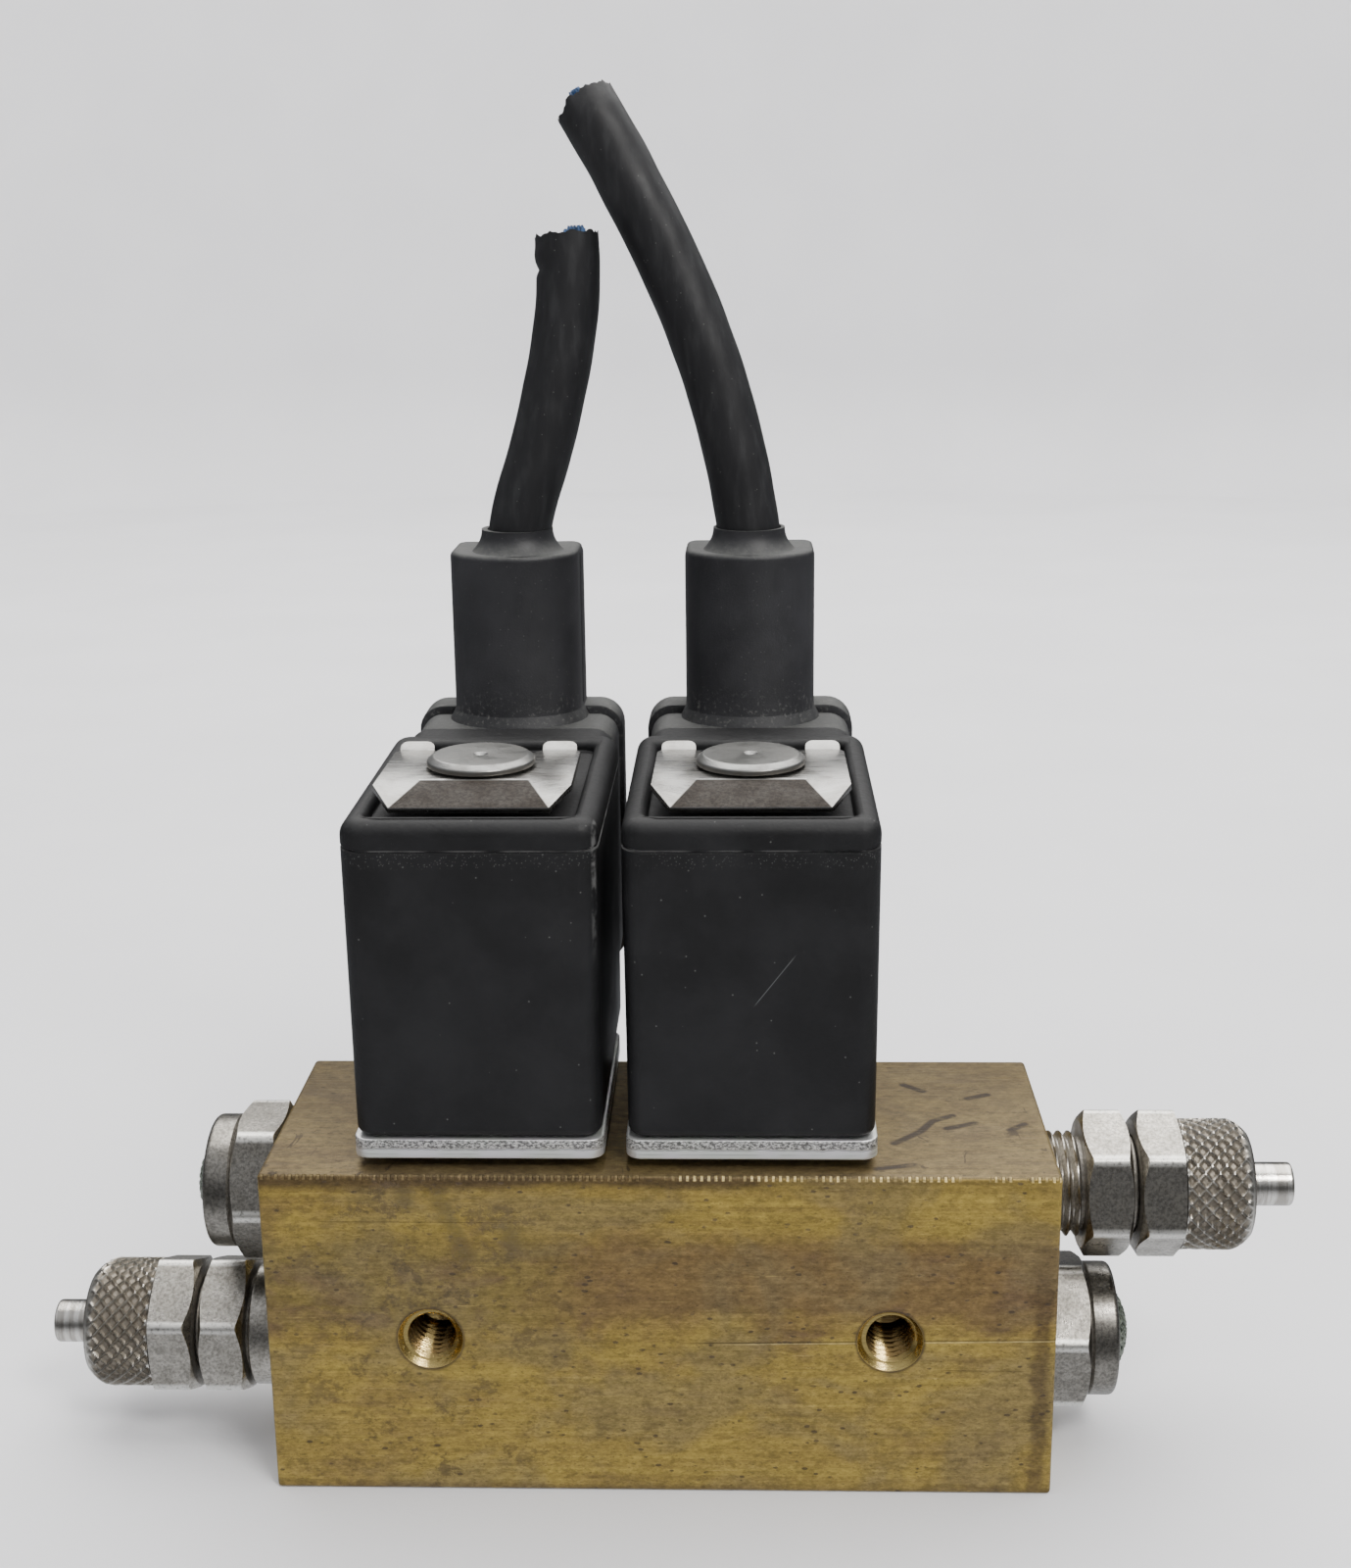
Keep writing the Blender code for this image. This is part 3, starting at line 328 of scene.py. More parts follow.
def quarter(steps):
    """Steps round a quarter circle as (1 - cos, 1 - sin), which go from (0, 1) to (1, 0)."""
    angles = [pi / 2 * step / steps for step in range(steps + 1)]
    return [(1 - cos(angle), 1 - sin(angle)) for angle in angles]


def rectangle(low_x, low_y, high_x, high_y, radius, steps=8):
    """A rectangle with round corners."""
    outline = []
    corners = (
        (high_x - radius, high_y - radius, 0), (low_x + radius, high_y - radius, 1),
        (low_x + radius, low_y + radius, 2), (high_x - radius, low_y + radius, 3),
    )
    for x, y, quarter in corners:
        for step in range(steps + 1):
            angle = (quarter + step / steps) * pi / 2
            outline.append((x + radius * cos(angle), y + radius * sin(angle)))
    return outline


def layer(z, rect, radius, inset=0.0):
    """One section of a round-cornered shape, pulled in on all sides by inset."""
    low_x, low_y, high_x, high_y = rect
    corner = max(radius - inset, 0.05)
    outline = rectangle(low_x + inset, low_y + inset, high_x - inset, high_y - inset, corner)
    return [(x, y, z) for x, y in outline]


def edge_layers(z, rect, radius, edge, direction, steps=5):
    """Sections of a rounded edge that starts at height z and goes up (1), or ends there (-1)."""
    sections = []
    for rise, inset in quarter(steps):
        sections.append(layer(z + direction * edge * rise, rect, radius, edge * inset))
    return sections[::direction]


def slab(low, high, corner, edge):
    """A box with round upright corners and round top and bottom edges."""
    rect = (low[0], low[1], high[0], high[1])
    sections = edge_layers(low[2], rect, corner, edge, 1) + edge_layers(high[2], rect, corner, edge, -1)
    return stacked(sections)


def upright(half, z_range, corner, levels):
    """A shape of round-cornered sections that stand upright; levels are (y, inset)."""
    rect = (-half, -z_range[1], half, -z_range[0])
    return placed(stacked([layer(y, rect, corner, inset) for y, inset in levels]), TO_BACK)


def box(low, high):
    corners = ((low[0], low[1]), (high[0], low[1]), (high[0], high[1]), (low[0], high[1]))
    return stacked([[(x, y, z) for x, y in corners] for z in (low[2], high[2])])


def disc(radius, bottom, top, sides=SIDES):
    return turned([(0, bottom), (radius, bottom), (radius, top), (0, top)], sides)


def placed(shape, turn=None, shift=(0, 0, 0)):
    matrix = Matrix.Translation(Vector(shift))
    if turn is not None:
        matrix = matrix @ turn.to_4x4()
    bmesh.ops.transform(shape, matrix=matrix, verts=shape.verts)
    return shape


def swept(points, radius_at, sides=12):
    """A tube along points. radius_at gives the radius for a point's number and an angle."""
    places = [Vector(point) for point in points]
    tangents = []
    for index in range(len(places)):
        before = places[max(index - 1, 0)]
        after = places[min(index + 1, len(places) - 1)]
        tangents.append((after - before).normalized())
    across = Vector((1, 0, 0))
    if abs(tangents[0].x) > 0.9:
        across = Vector((0, 0, 1))
    sections = []
    for index, (place, tangent) in enumerate(zip(places, tangents)):
        across = (across - tangent * across.dot(tangent)).normalized()
        other = tangent.cross(across)
        ring = []
        for step in range(sides):
            angle = tau * step / sides
            ring.append(place + radius_at(index, angle) * (across * cos(angle) + other * sin(angle)))
        sections.append(ring)
    return stacked(sections)


def to_object(name, shape):
    mesh = bpy.data.meshes.new(name)
    shape.to_mesh(mesh)
    shape.free()
    thing = bpy.data.objects.new(name, mesh)
    bpy.context.collection.objects.link(thing)
    return thing


def applied(thing):
    """An object's shape with its modifiers worked out. The object goes."""
    bpy.context.view_layer.update()
    evaluated = thing.evaluated_get(bpy.context.evaluated_depsgraph_get())
    shape = bmesh.new()
    shape.from_mesh(evaluated.to_mesh())
    evaluated.to_mesh_clear()
    remove(thing)
    return shape


def remove(thing):
    mesh = thing.data
    bpy.data.objects.remove(thing)
    bpy.data.meshes.remove(mesh)


def combined(first, others, operation):
    """A Boolean of one shape with several others, worked out at once and returned as a shape."""
    target = to_object("shape", first)
    tools = [to_object("tool", other) for other in others]
    for tool in tools:
        modifier = target.modifiers.new(operation.lower(), "BOOLEAN")
        modifier.operation = operation
        modifier.solver = "EXACT"
        modifier.object = tool
    result = applied(target)
    for tool in tools:
        remove(tool)
    return result


def cut(shape, *tools):
    return combined(shape, tools, "DIFFERENCE")


def joined(shape, *others):
    return combined(shape, others, "UNION")


def merged(shapes):
    """Several shapes that don't touch, as one."""
    first = shapes[0]
    for other in shapes[1:]:
        mesh = bpy.data.meshes.new("part")
        other.to_mesh(mesh)
        other.free()
        first.from_mesh(mesh)
        bpy.data.meshes.remove(mesh)
    return first


def add_piece(name, shape, material, body, nodes=(), turn=None, shift=(0, 0, 0)):
    """A finished piece from a shape in local millimetres, put in its place in the row frame.
    body is a body's name that the piece is attached to; given as two bodies and the places between them,
    these are not used and the piece is left fixed where it is."""
    placed(shape, turn, shift)
    bmesh.ops.scale(shape, vec=(MM, MM, MM), verts=shape.verts)
    thing = to_object(name, shape)
    thing.data.materials.clear()
    thing.data.materials.append(material)
    thing.data.shade_smooth()
    thing.data.set_sharp_from_angle(angle=SMOOTH_ANGLE)
    if isinstance(body, tuple):
        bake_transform(thing)
    else:
        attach(thing, body)
    if nodes:
        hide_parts(*nodes)
    return thing


def add_valve_piece(name, side, shape, material, body, node):
    """A piece of one valve, from a shape about the valve's axis."""
    place = (VALVE_X[side], 0, 0)
    add_piece(f"{name}_{side}", shape, material, body, [f"{node}_{side}"], shift=place)


def add_coil_piece(name, side, shape, material, node):
    add_valve_piece(name, side, shape, material, f"coil_{side}", node)


# --- materials ---


class Value:
    """A node's output that sums, products and powers can be written with."""

    def __init__(self, paint, socket):
        self.paint = paint
        self.socket = socket

    def __add__(self, other):
        return self.paint.calc("ADD", self, other)

    def __sub__(self, other):
        return self.paint.calc("SUBTRACT", self, other)

    def __rsub__(self, other):
        return self.paint.calc("SUBTRACT", other, self)

    def __mul__(self, other):
        return self.paint.calc("MULTIPLY", self, other)

    def __neg__(self):
        return self * -1

    def __pow__(self, power):
        return self.paint.calc("POWER", self, power)

    def __abs__(self):
        return self.paint.calc("ABSOLUTE", self)


class Paint:
    """One material's node tree, built from short calls. Scales are per millimetre."""

    def __init__(self, name):
        self.material = bpy.data.materials.new(name)
        self.material.use_nodes = True
        self.tree = self.material.node_tree
        self.normal = None
        coordinates = self.node("TexCoord").outputs["Object"]
        self.place = self.result("VectorMath", {0: coordinates, "Scale": 1 / MM}, operation="SCALE")
        facing = self.node("NewGeometry").outputs["Normal"]
        self.x, self.y, self.z = self.split(self.place)
        self.facing_x, self.facing_y, self.facing_z = self.split(facing)

    def node(self, kind, inputs=None, **settings):
        node = self.tree.nodes.new("ShaderNode" + kind)
        for key, value in settings.items():
            setattr(node, key, value)
        for key, value in (inputs or {}).items():
            self.put(node.inputs[key], value)
        return node

    def result(self, kind, inputs, output=0, **settings):
        return Value(self, self.node(kind, inputs, **settings).outputs[output])

    def split(self, vector):
        return [Value(self, socket) for socket in self.node("SeparateXYZ", {0: vector}).outputs]

    def put(self, socket, value):
        value = getattr(value, "socket", value)
        if isinstance(value, bpy.types.NodeSocket):
            self.tree.links.new(value, socket)
        elif socket.type == "RGBA":
            socket.default_value = (*value, 1)
        else:
            socket.default_value = value

    def calc(self, operation, first, second=0.0):
        return self.result("Math", {0: first, 1: second}, operation=operation)

    def most(self, first, second):
        return self.calc("MAXIMUM", first, second)

    def stretched(self, stretch, shift):
        inputs = {"Vector": self.place, "Scale": stretch, "Location": (shift, shift, shift)}
        return self.result("Mapping", inputs)

    def noise(self, scale, detail=3.0, roughness=0.5, stretch=(1, 1, 1), shift=0.0, warp=0.0):
        inputs = {"Vector": self.stretched(stretch, shift), "Scale": scale, "Detail": detail}
        return self.result("TexNoise", {**inputs, "Roughness": roughness, "Distortion": warp})

    def cells(self, scale, stretch=(1, 1, 1), shift=0.0):
        return self.result("TexVoronoi", {"Vector": self.stretched(stretch, shift), "Scale": scale})

    def ramp(self, value, low, high, to_low=0.0, to_high=1.0):
        """Goes smoothly from to_low to to_high as the value goes from low to high."""
        inputs = {"Value": value, "From Min": low, "From Max": high, "To Min": to_low, "To Max": to_high}
        return self.result("MapRange", inputs, interpolation_type="SMOOTHSTEP")

    def fall(self, value, low, high):
        return self.ramp(value, low, high, 1.0, 0.0)

    def band(self, value, centre, half, soft):
        """1 within half of the centre, and 0 further off than half + soft."""
        return self.fall(abs(value - centre), half, half + soft)

    def mix(self, share, first, second):
        return self.result("Mix", {0: share, 6: first, 7: second}, 2, data_type="RGBA")

    def coat(self, share, colour):
        """Covers a share of the colour so far."""
        self.colour = self.mix(share, self.colour, colour)

    def shade(self, factor):
        """Makes the colour so far lighter or darker."""
        self.colour = self.vector("SCALE", self.colour, factor)

    def vector(self, operation, first, second, output=0):
        key = "Scale" if operation == "SCALE" else 1
        return self.result("VectorMath", {0: first, key: second}, output, operation=operation)

    def stroke(self, start, end, half, soft):
        """1 on a short line between two (x, y) places, seen from above."""
        flat = self.result("CombineXYZ", {0: self.x, 1: self.y})
        along = Vector((end[0] - start[0], end[1] - start[1], 0))
        place = self.vector("ADD", flat, (-start[0], -start[1], 0))
        share = self.vector("DOT_PRODUCT", place, along / along.length_squared, "Value")
        inside = self.calc("MINIMUM", self.most(share, 0.0), 1.0)
        nearest = self.vector("SCALE", along, inside)
        return self.fall(self.vector("DISTANCE", place, nearest, "Value"), half, half + soft)

    def bump(self, height, distance):
        """height is 0 to 1, and distance is how deep that is, in millimetres."""
        inputs = {"Height": height, "Distance": distance * MM, "Strength": 1.0}
        if self.normal:
            inputs["Normal"] = self.normal
        self.normal = self.result("Bump", inputs)

    def finish(self, roughness, metallic=0.0, **others):
        shader = self.tree.nodes["Principled BSDF"]
        values = {"Base Color": self.colour, "Roughness": roughness, "Metallic": metallic}
        for key, value in {**values, "Normal": self.normal, **others}.items():
            self.put(shader.inputs[key], value)
        return self.material


def brass():
    """Drawn brass bar with brown patina, dark pits and smudges; bright where tools cut it. Painted shade
    under the yoke plates, along the bottom edge, round the bolt-hole mouths and deep in the holes; painted
    highlights in the bolt holes and on the front top edge's beads.
    """
    p = Paint("brass_bar")
    front = p.ramp(-p.facing_y, 0.5, 0.8)
    top = p.ramp(p.facing_z, 0.5, 0.8)
    streaks = p.noise(1.5, 5, 0.65, (0.03, 1, 1))
    fine_lines = p.noise(5.0, 3, 0.6, (0.02, 1, 1), 7)
    clouds = p.noise(0.11, 5, 0.62, (0.7, 1, 1), 11, 0.4)
    patches = p.noise(0.3, 6, 0.7, (0.6, 1, 1.3), 5, 0.6)
    mottle = p.noise(1.6, 6, 0.8, (0.6, 1, 1.2), 2)
    grain = p.noise(4.5, 3, 0.7, (0.5, 1, 1.2), 41)

    straw = (0.37, 0.268, 0.06)
    olive = (0.22, 0.163, 0.05)
    umber = (0.19, 0.122, 0.05)
    plum = (0.14, 0.088, 0.048)
    dark_brown = (0.035, 0.022, 0.012)
    p.colour = p.mix(p.ramp(streaks, 0.35, 0.65), straw, (0.3, 0.212, 0.052))
    wander = p.z + (clouds - 0.5) * 9.0
    dull = p.mix(p.ramp(p.x + patches * 6.0, -12, 0), olive, umber)
    zone = p.band(wander, 20.8, 2.6, 3.2) * p.fall(p.facing_z, 0.3, 0.6)
    p.coat(zone * 0.9, dull)
    patina = p.ramp(clouds * 0.65 + patches * 0.35, 0.5, 0.62)
    patina = patina * p.ramp(zone, 0.0, 1.0, 0.6, 1.0)
    p.coat(patina * 0.75, plum)
    haze = p.ramp(p.noise(0.09, 4, 0.6, (0.8, 1, 1.2), 83, 0.5), 0.46, 0.62)
    p.coat(haze * 0.55, (0.2, 0.155, 0.075))
    draw_lines = p.ramp(p.noise(2.6, 4, 0.7, (0.015, 1, 1), 67), 0.3, 0.7, 0.88, 1.1)
    p.shade(draw_lines)
    bright_lines = p.ramp(p.noise(3.2, 3, 0.6, (0.04, 1, 1), 53), 0.6, 0.7)
    bright_lines = bright_lines * p.ramp(p.noise(0.3, 3, 0.6, shift=57), 0.45, 0.6)
    p.coat(bright_lines * 0.4, (0.55, 0.41, 0.14))

    khaki = p.mix(p.ramp(patches, 0.4, 0.65), (0.125, 0.092, 0.045), (0.09, 0.064, 0.034))
    p.coat(top * 0.85, khaki)

    pits = p.fall(p.cells(1.05, (0.65, 1, 1.25), 4) + mottle * 0.3, 0.29, 0.37)
    pits = pits * p.ramp(p.noise(0.35, 3, 0.6, shift=31), 0.44, 0.58)
    dots = p.fall(p.cells(2.1, (0.7, 1, 1.3), 9), 0.1, 0.22) * 0.55
    blots = p.ramp(p.noise(0.42, 6, 0.8, (0.8, 1, 1), 47), 0.52, 0.61)
    blots = blots * p.ramp(abs(p.x + 21) + clouds * 14, 9, 26, 1.0, 0.35)
    dark = p.most(p.most(pits, dots), blots * 0.8)
    dark = dark * p.ramp(p.facing_z, 0.5, 0.8, 1.0, 0.55)
    p.coat(dark * 0.75, dark_brown)

    smudges = 0.0
    slanted = p.x + p.z * SMUDGE_LEAN + patches * 2.5
    for line, low, high in FRONT_SMUDGES:
        reach = p.band(p.z, (low + high) / 2, (high - low) / 2 - 0.6, 1.0)
        smudges = p.most(smudges, p.band(slanted, line + 1.25, 0.1, 1.5) * reach)
    smudges = smudges * front * p.ramp(mottle, 0.35, 0.6, 0.3, 1.0)
    p.coat(smudges * 0.6, (0.085, 0.07, 0.04))

    strokes = 0.0
    for start, end in TOP_STROKES:
        strokes = p.most(strokes, p.stroke(start, end, 0.22, 0.36))
    loose = p.ramp(p.noise(0.5, 3, 0.6, (1, 0.45, 1), 61, 0.8), 0.66, 0.71)
    strokes = p.most(strokes, loose * 0.8)
    strokes = strokes * top * p.ramp(mottle, 0.36, 0.52, 0.25, 1.0)
    p.coat(strokes * 0.92, (0.022, 0.014, 0.009))

    side_edge = p.band(p.x + patches * 2.6, 35.0, 0.35, 0.8) * p.ramp(p.z, 24, 19, 0.25, 1.0)
    side_edge = side_edge * front
    # painted shadow: a dark band on the front just under the yoke plates, weaker to the right
    painted_shadow_under_plates = p.ramp(p.z + clouds * 1.5, 30.0, 31.2) * front
    painted_shadow_under_plates = painted_shadow_under_plates * p.ramp(p.x, 8, 12, 1.0, 0.3)
    # painted shade along the bottom edge, where the block stands on the floor; side_edge is a darker band
    # near the front's right end
    painted_shade_low_edge = p.fall(p.z - patches * 2.0, -1.2, 0.3)
    p.coat(p.most(side_edge, painted_shade_low_edge) * 0.55, (0.06, 0.037, 0.022))
    p.coat(painted_shadow_under_plates * 0.85, (0.075, 0.048, 0.024))

    sloped = p.z - p.x * 0.018
    broken = p.ramp(streaks, 0.3, 0.5, 0.5, 1.0)
    scratch = p.band(sloped, 14.87, 0.02, 0.07) * p.ramp(p.x, 0, 5)
    shine = p.band(sloped, 14.72, 0.02, 0.06) * p.ramp(p.x, 4, 9)
    thin = p.band(p.z, 12.4, 0.01, 0.05) * p.band(p.x, 28.8, 3.2, 0.8)
    thin = p.most(thin, p.band(p.z, 26.6, 0.01, 0.06) * p.band(p.x, -21, 8, 1.5))
    lines = p.most(scratch, thin * 0.7) * front * broken
    p.coat(lines * 0.85, (0.06, 0.042, 0.02))
    p.coat(shine * front * 0.5, (0.62, 0.5, 0.24))

    front_edge = p.ramp(p.y, -12.62, -12.75) * p.ramp(p.z, 30.55, 30.75)
    beads = p.ramp(p.calc("SINE", p.x * (tau / 0.62)), -0.3, 0.5)
    beads = beads * p.ramp(p.noise(0.4, 3, 0.6, (1, 0.1, 0.1), 71), 0.36, 0.55)
    # the beads are tool marks on the front top edge; their brightness is painted highlight, strong right of x
    # = 0 and dim to the left
    lit = p.ramp(p.x + patches * 4.0, 0, 4, 0.12, 0.9)
    p.coat(front_edge * (beads * lit), (0.6, 0.47, 0.21))
    p.shade(p.ramp(mottle, 0.3, 0.7, 0.68, 1.3))
    p.shade(p.ramp(grain, 0.3, 0.7, 0.86, 1.14))

    hole = p.calc("SQRT", (abs(p.x) - BOLT_X) ** 2 + (p.z - BOLT_Z) ** 2)
    within = p.fall(hole, BOLT_SINK + 0.02, BOLT_SINK + 0.05)
    bright = within * p.ramp(p.y, -12.98, -12.9) * p.fall(p.y, -4.0, -3.0)
    off_middle = (abs(p.x) - BOLT_X) * p.calc("SIGN", p.x)
    # painted highlight: a bright gold strip low on one side inside each bolt hole
    painted_sheen = p.band(off_middle, -0.75, 0.25, 0.35) * p.ramp(p.z, BOLT_Z + 0.2, BOLT_Z - 0.6)
    # inside the holes the cut brass of the mouth gives way to painted shade, darker deeper in
    inner = p.mix(p.ramp(p.y, -12.6, -11.4), (0.5, 0.38, 0.14), (0.3, 0.2, 0.08))
    inner = p.mix(painted_sheen * 0.9, inner, (0.95, 0.7, 0.27))
    p.coat(bright, inner)
    # painted shade: a dark ring on the face round each bolt-hole mouth
    painted_shade_ring = p.fall(hole, BOLT_SINK, BOLT_SINK + 0.3) * (1 - bright) * front
    p.coat(painted_shade_ring * 0.75, (0.05, 0.033, 0.02))

    rough = p.ramp(fine_lines, 0.3, 0.7, 0.44, 0.56) + dark * 0.15 + patina * 0.06 - bright * 0.26
    metal = p.most(p.ramp(dark + patina * 0.3, 0.0, 1.2, 0.6, 0.25), bright)
    p.bump(fine_lines, 0.012)
    p.bump(mottle, 0.02)
    p.bump(1 - dark, 0.018)
    p.bump(1 - front_edge * beads, 0.12)
    return p.finish(rough, metal)


def nickel(name, axis_z, flats, knurled=None, tone=1.0):
    """Warm satin nickel plate round an axis along X, mottled, with worn corners on its hexagon that also
    carry a painted highlight, painted shade with some grime in its recesses, and a polished spigot with
    painted sheen.
    knurled names the side of a nut, whose pits are dull, with painted shade and dirt, and whose ridges carry
    a painted highlight."""
    p = Paint(name)
    wear = p.noise(0.5, 5, 0.65, shift=3)
    speckle = p.noise(3.4, 3, 0.7, shift=23)
    grain = p.noise(9.0, 3, 0.6, shift=8)
    lines = p.noise(7.0, 3, 0.6, (1, 0.06, 0.06))
    p.colour = p.mix(p.ramp(wear, 0.35, 0.68), (0.43, 0.405, 0.36), (0.33, 0.31, 0.27))
    p.shade(p.ramp(speckle, 0.32, 0.68, 0.66 * tone, 1.3 * tone))
    from_axis = p.calc("SQRT", p.y * p.y + (p.z - axis_z) ** 2)
    # painted highlight: a bright band along the hexagon's worn corners
    corners = p.ramp(from_axis, 0.548 * flats, 0.56 * flats) * p.ramp(speckle, 0.3, 0.5, 0.35, 1.0)
    p.coat(corners * 0.8, (0.92, 0.9, 0.84))
    # the spigot is polished, with lower roughness; its brighter colour with turned rings is painted sheen
    painted_sheen = p.fall(from_axis, 2.2, 2.4)
    bands = p.ramp(p.noise(1.6, 3, 0.6, (1, 0.1, 0.1), 91), 0.4, 0.6)
    p.coat(painted_sheen, p.mix(bands, (0.85, 0.82, 0.76), (0.5, 0.47, 0.42)))
    spots = p.ramp(speckle, 0.62, 0.72) * p.ramp(wear, 0.5, 0.62)
    p.coat(spots * 0.5, (0.14, 0.12, 0.095))
    # darkening from ambient occlusion in recesses: painted shade, with some grime
    cavity = p.node("AmbientOcclusion", {"Distance": 0.9 * MM}, samples=6).outputs["AO"]
    grime_and_shade = p.fall(cavity, 0.35, 0.85)
    if knurled:
        outwards = p.x * SIDE_SIGN[knurled] - (BLOCK_END + FITTING_SHIFT[knurled])
        chamfer = p.most((outwards + (KNURL_CHAMFER - NUT_END)) * (1 / KNURL_CHAMFER), 0.0)
        plain = chamfer * chamfer * -KNURL_DROP + KNURL_RADIUS
        depth = plain - from_axis
        along = p.ramp(outwards, NUT_HEX_END, NUT_HEX_END + 0.1) * p.fall(outwards, 18.5, 18.7)
        # knurl pits painted darker brown deeper in: painted shade in the hollows, with dirt
        pits = p.ramp(depth, 0.04, 0.25) * along
        p.coat(pits * 0.85, (0.3, 0.26, 0.205))
        # painted highlight on the knurl's ridge crests
        ridges = p.fall(depth, 0.0, 0.05) * along
        p.coat(ridges * 0.85, (0.85, 0.82, 0.75))
        grime_and_shade = p.most(grime_and_shade * 0.6, pits)
    p.coat(grime_and_shade * 0.4, (0.1, 0.088, 0.07))
    rough = p.ramp(wear, 0.3, 0.7, 0.25, 0.36) + grime_and_shade * 0.15
    rough = rough + corners * 0.12 - painted_sheen * 0.13
    p.bump(lines, 0.008)
    p.bump(speckle, 0.014)
    p.bump(grain, 0.006)
    metal = p.ramp(grime_and_shade, 0.0, 1.0, 1.0, 0.75)
    return p.finish(rough, metal)


def zinc():
    """Zinc-plated sheet: a rough sheared band over a smooth bright one, with faint colour."""
    p = Paint("zinc_sheet")
    sparkle = p.noise(4.5, 4, 0.8, (0.7, 1, 1.3), 5)
    tint = p.noise(0.25, 2, 0.5, shift=2)
    p.colour = p.mix(p.ramp(tint, 0.35, 0.65), (0.78, 0.76, 0.78), (0.73, 0.76, 0.71))
    break_line = p.z + p.noise(0.9, 3, 0.6, (1, 1, 0.1), 6) * 0.35
    sheared = p.ramp(break_line, 33.02, 33.1) * p.fall(abs(p.facing_z), 0.5, 0.7)
    torn = p.mix(p.ramp(sparkle, 0.44, 0.58), (0.055, 0.052, 0.047), (0.8, 0.79, 0.76))
    p.coat(sheared * 0.85, torn)
    line = p.band(break_line, 32.95, 0.02, 0.05) * 0.6
    low_line = p.band(p.z, 32.35, 0.01, 0.04) * p.ramp(tint, 0.4, 0.6)
    p.coat(p.most(line, low_line * 0.5), (0.12, 0.11, 0.12))
    rough = p.ramp(tint, 0.3, 0.7, 0.3, 0.38) + sheared * 0.12
    p.bump(p.noise(2.5, 3, 0.6), 0.01)
    p.bump(sheared * sparkle, 0.07)
    return p.finish(rough, 0.75)


def coil_plastic():
    """Charcoal moulded plastic with a fine texture, dust on top, scuffs and mould lines, and a painted
    highlight down the left coil's right side by its front corner.
    """
    p = Paint("coil_plastic")
    cloud = p.noise(0.12, 4, 0.6, shift=4)
    grain = p.noise(5.5, 3, 0.6)
    pits = p.cells(3.2, shift=3)
    p.colour = p.mix(p.ramp(cloud, 0.35, 0.7), (0.0072, 0.0072, 0.0076), (0.0115, 0.0116, 0.0125))
    dust = p.ramp(p.facing_z, 0.25, 0.9) * p.ramp(p.noise(1.3, 5, 0.7, shift=9), 0.35, 0.7, 0.35, 1.0)
    p.coat(dust * 0.12, (0.1, 0.1, 0.098))
    scuffs = p.ramp(p.noise(0.9, 5, 0.75, shift=15), 0.66, 0.75)
    scuffs = scuffs * p.ramp(p.z, 57, 60.5, 0.12, 1.0)
    p.coat(scuffs * 0.25, (0.15, 0.152, 0.145))
    speckle = p.fall(p.cells(4.2, shift=21), 0.14, 0.28) * p.band(p.z, 59.2, 0.35, 0.6)
    speckle = speckle * p.ramp(p.noise(0.3, 2, 0.5, shift=6), 0.3, 0.5)
    p.coat(speckle * 0.45, (0.13, 0.13, 0.125))
    flash = p.band(p.z, COIL_SEAM - 0.02, 0.03, 0.09) * p.ramp(p.noise(0.25, 3, 0.6, shift=63), 0.42, 0.6)
    # painted highlight down the left coil's right side, by its front corner; flash is the mould line along
    # the seam
    corner = p.band(p.facing_x, 0.8, 0.04, 0.1) * p.ramp(p.y, -9.0, -9.4)
    corner = corner * p.fall(p.x, -4.2, -3.8) * p.ramp(p.z, 49, 56)
    corner = corner * p.ramp(p.noise(0.8, 3, 0.6, shift=73), 0.4, 0.6)
    p.coat(p.most(flash, corner) * 0.45, (0.16, 0.16, 0.155))
    lint = p.fall(p.cells(0.7, shift=33), 0.03, 0.07) * 0.5
    p.coat(lint, (0.14, 0.14, 0.135))
    slant = p.z - p.x * 1.3
    hair = p.band(slant, 35.2, 0.02, 0.07) * p.band(p.x, 10.2, 1.3, 0.6)
    p.coat(hair * 0.5, (0.14, 0.145, 0.15))
    rough = p.ramp(cloud, 0.3, 0.7, 0.44, 0.52) + p.most(dust, scuffs) * 0.15
    p.bump(grain, 0.014)
    p.bump(pits, 0.012)
    return p.finish(rough, **{"Specular IOR Level": 0.28})


def connector_plastic():
    """Softer, duller moulding than the coil's, with more dust on its tops."""
    p = Paint("connector_plastic")
    cloud = p.noise(0.2, 4, 0.6, shift=14)
    grain = p.noise(4.5, 3, 0.6, shift=2)
    p.colour = p.mix(p.ramp(cloud, 0.35, 0.7), (0.0125, 0.0125, 0.0145), (0.018, 0.018, 0.0205))
    dust_noise = p.noise(1.6, 5, 0.7, shift=19)
    dust = p.ramp(p.facing_z, 0.2, 0.85) * p.ramp(dust_noise, 0.35, 0.7, 0.35, 1.0)
    p.coat(dust * 0.4, (0.13, 0.135, 0.12))
    low = p.fall(p.z, 62.5, 66.5) * p.ramp(p.noise(2.4, 4, 0.7, shift=29), 0.55, 0.68)
    sides = p.ramp(p.y, 33.0, 33.6) * p.ramp(p.noise(2.0, 4, 0.75, shift=39), 0.55, 0.7)
    specks = p.fall(p.cells(1.5, shift=8), 0.05, 0.11) * 0.8
    marks = p.most(low * 0.7, p.most(sides * 0.55, specks * 0.7))
    p.coat(marks * 0.55, (0.15, 0.15, 0.135))
    rough = p.ramp(cloud, 0.3, 0.7, 0.46, 0.56) + p.most(dust, marks) * 0.2
    p.bump(grain, 0.02)
    return p.finish(rough)


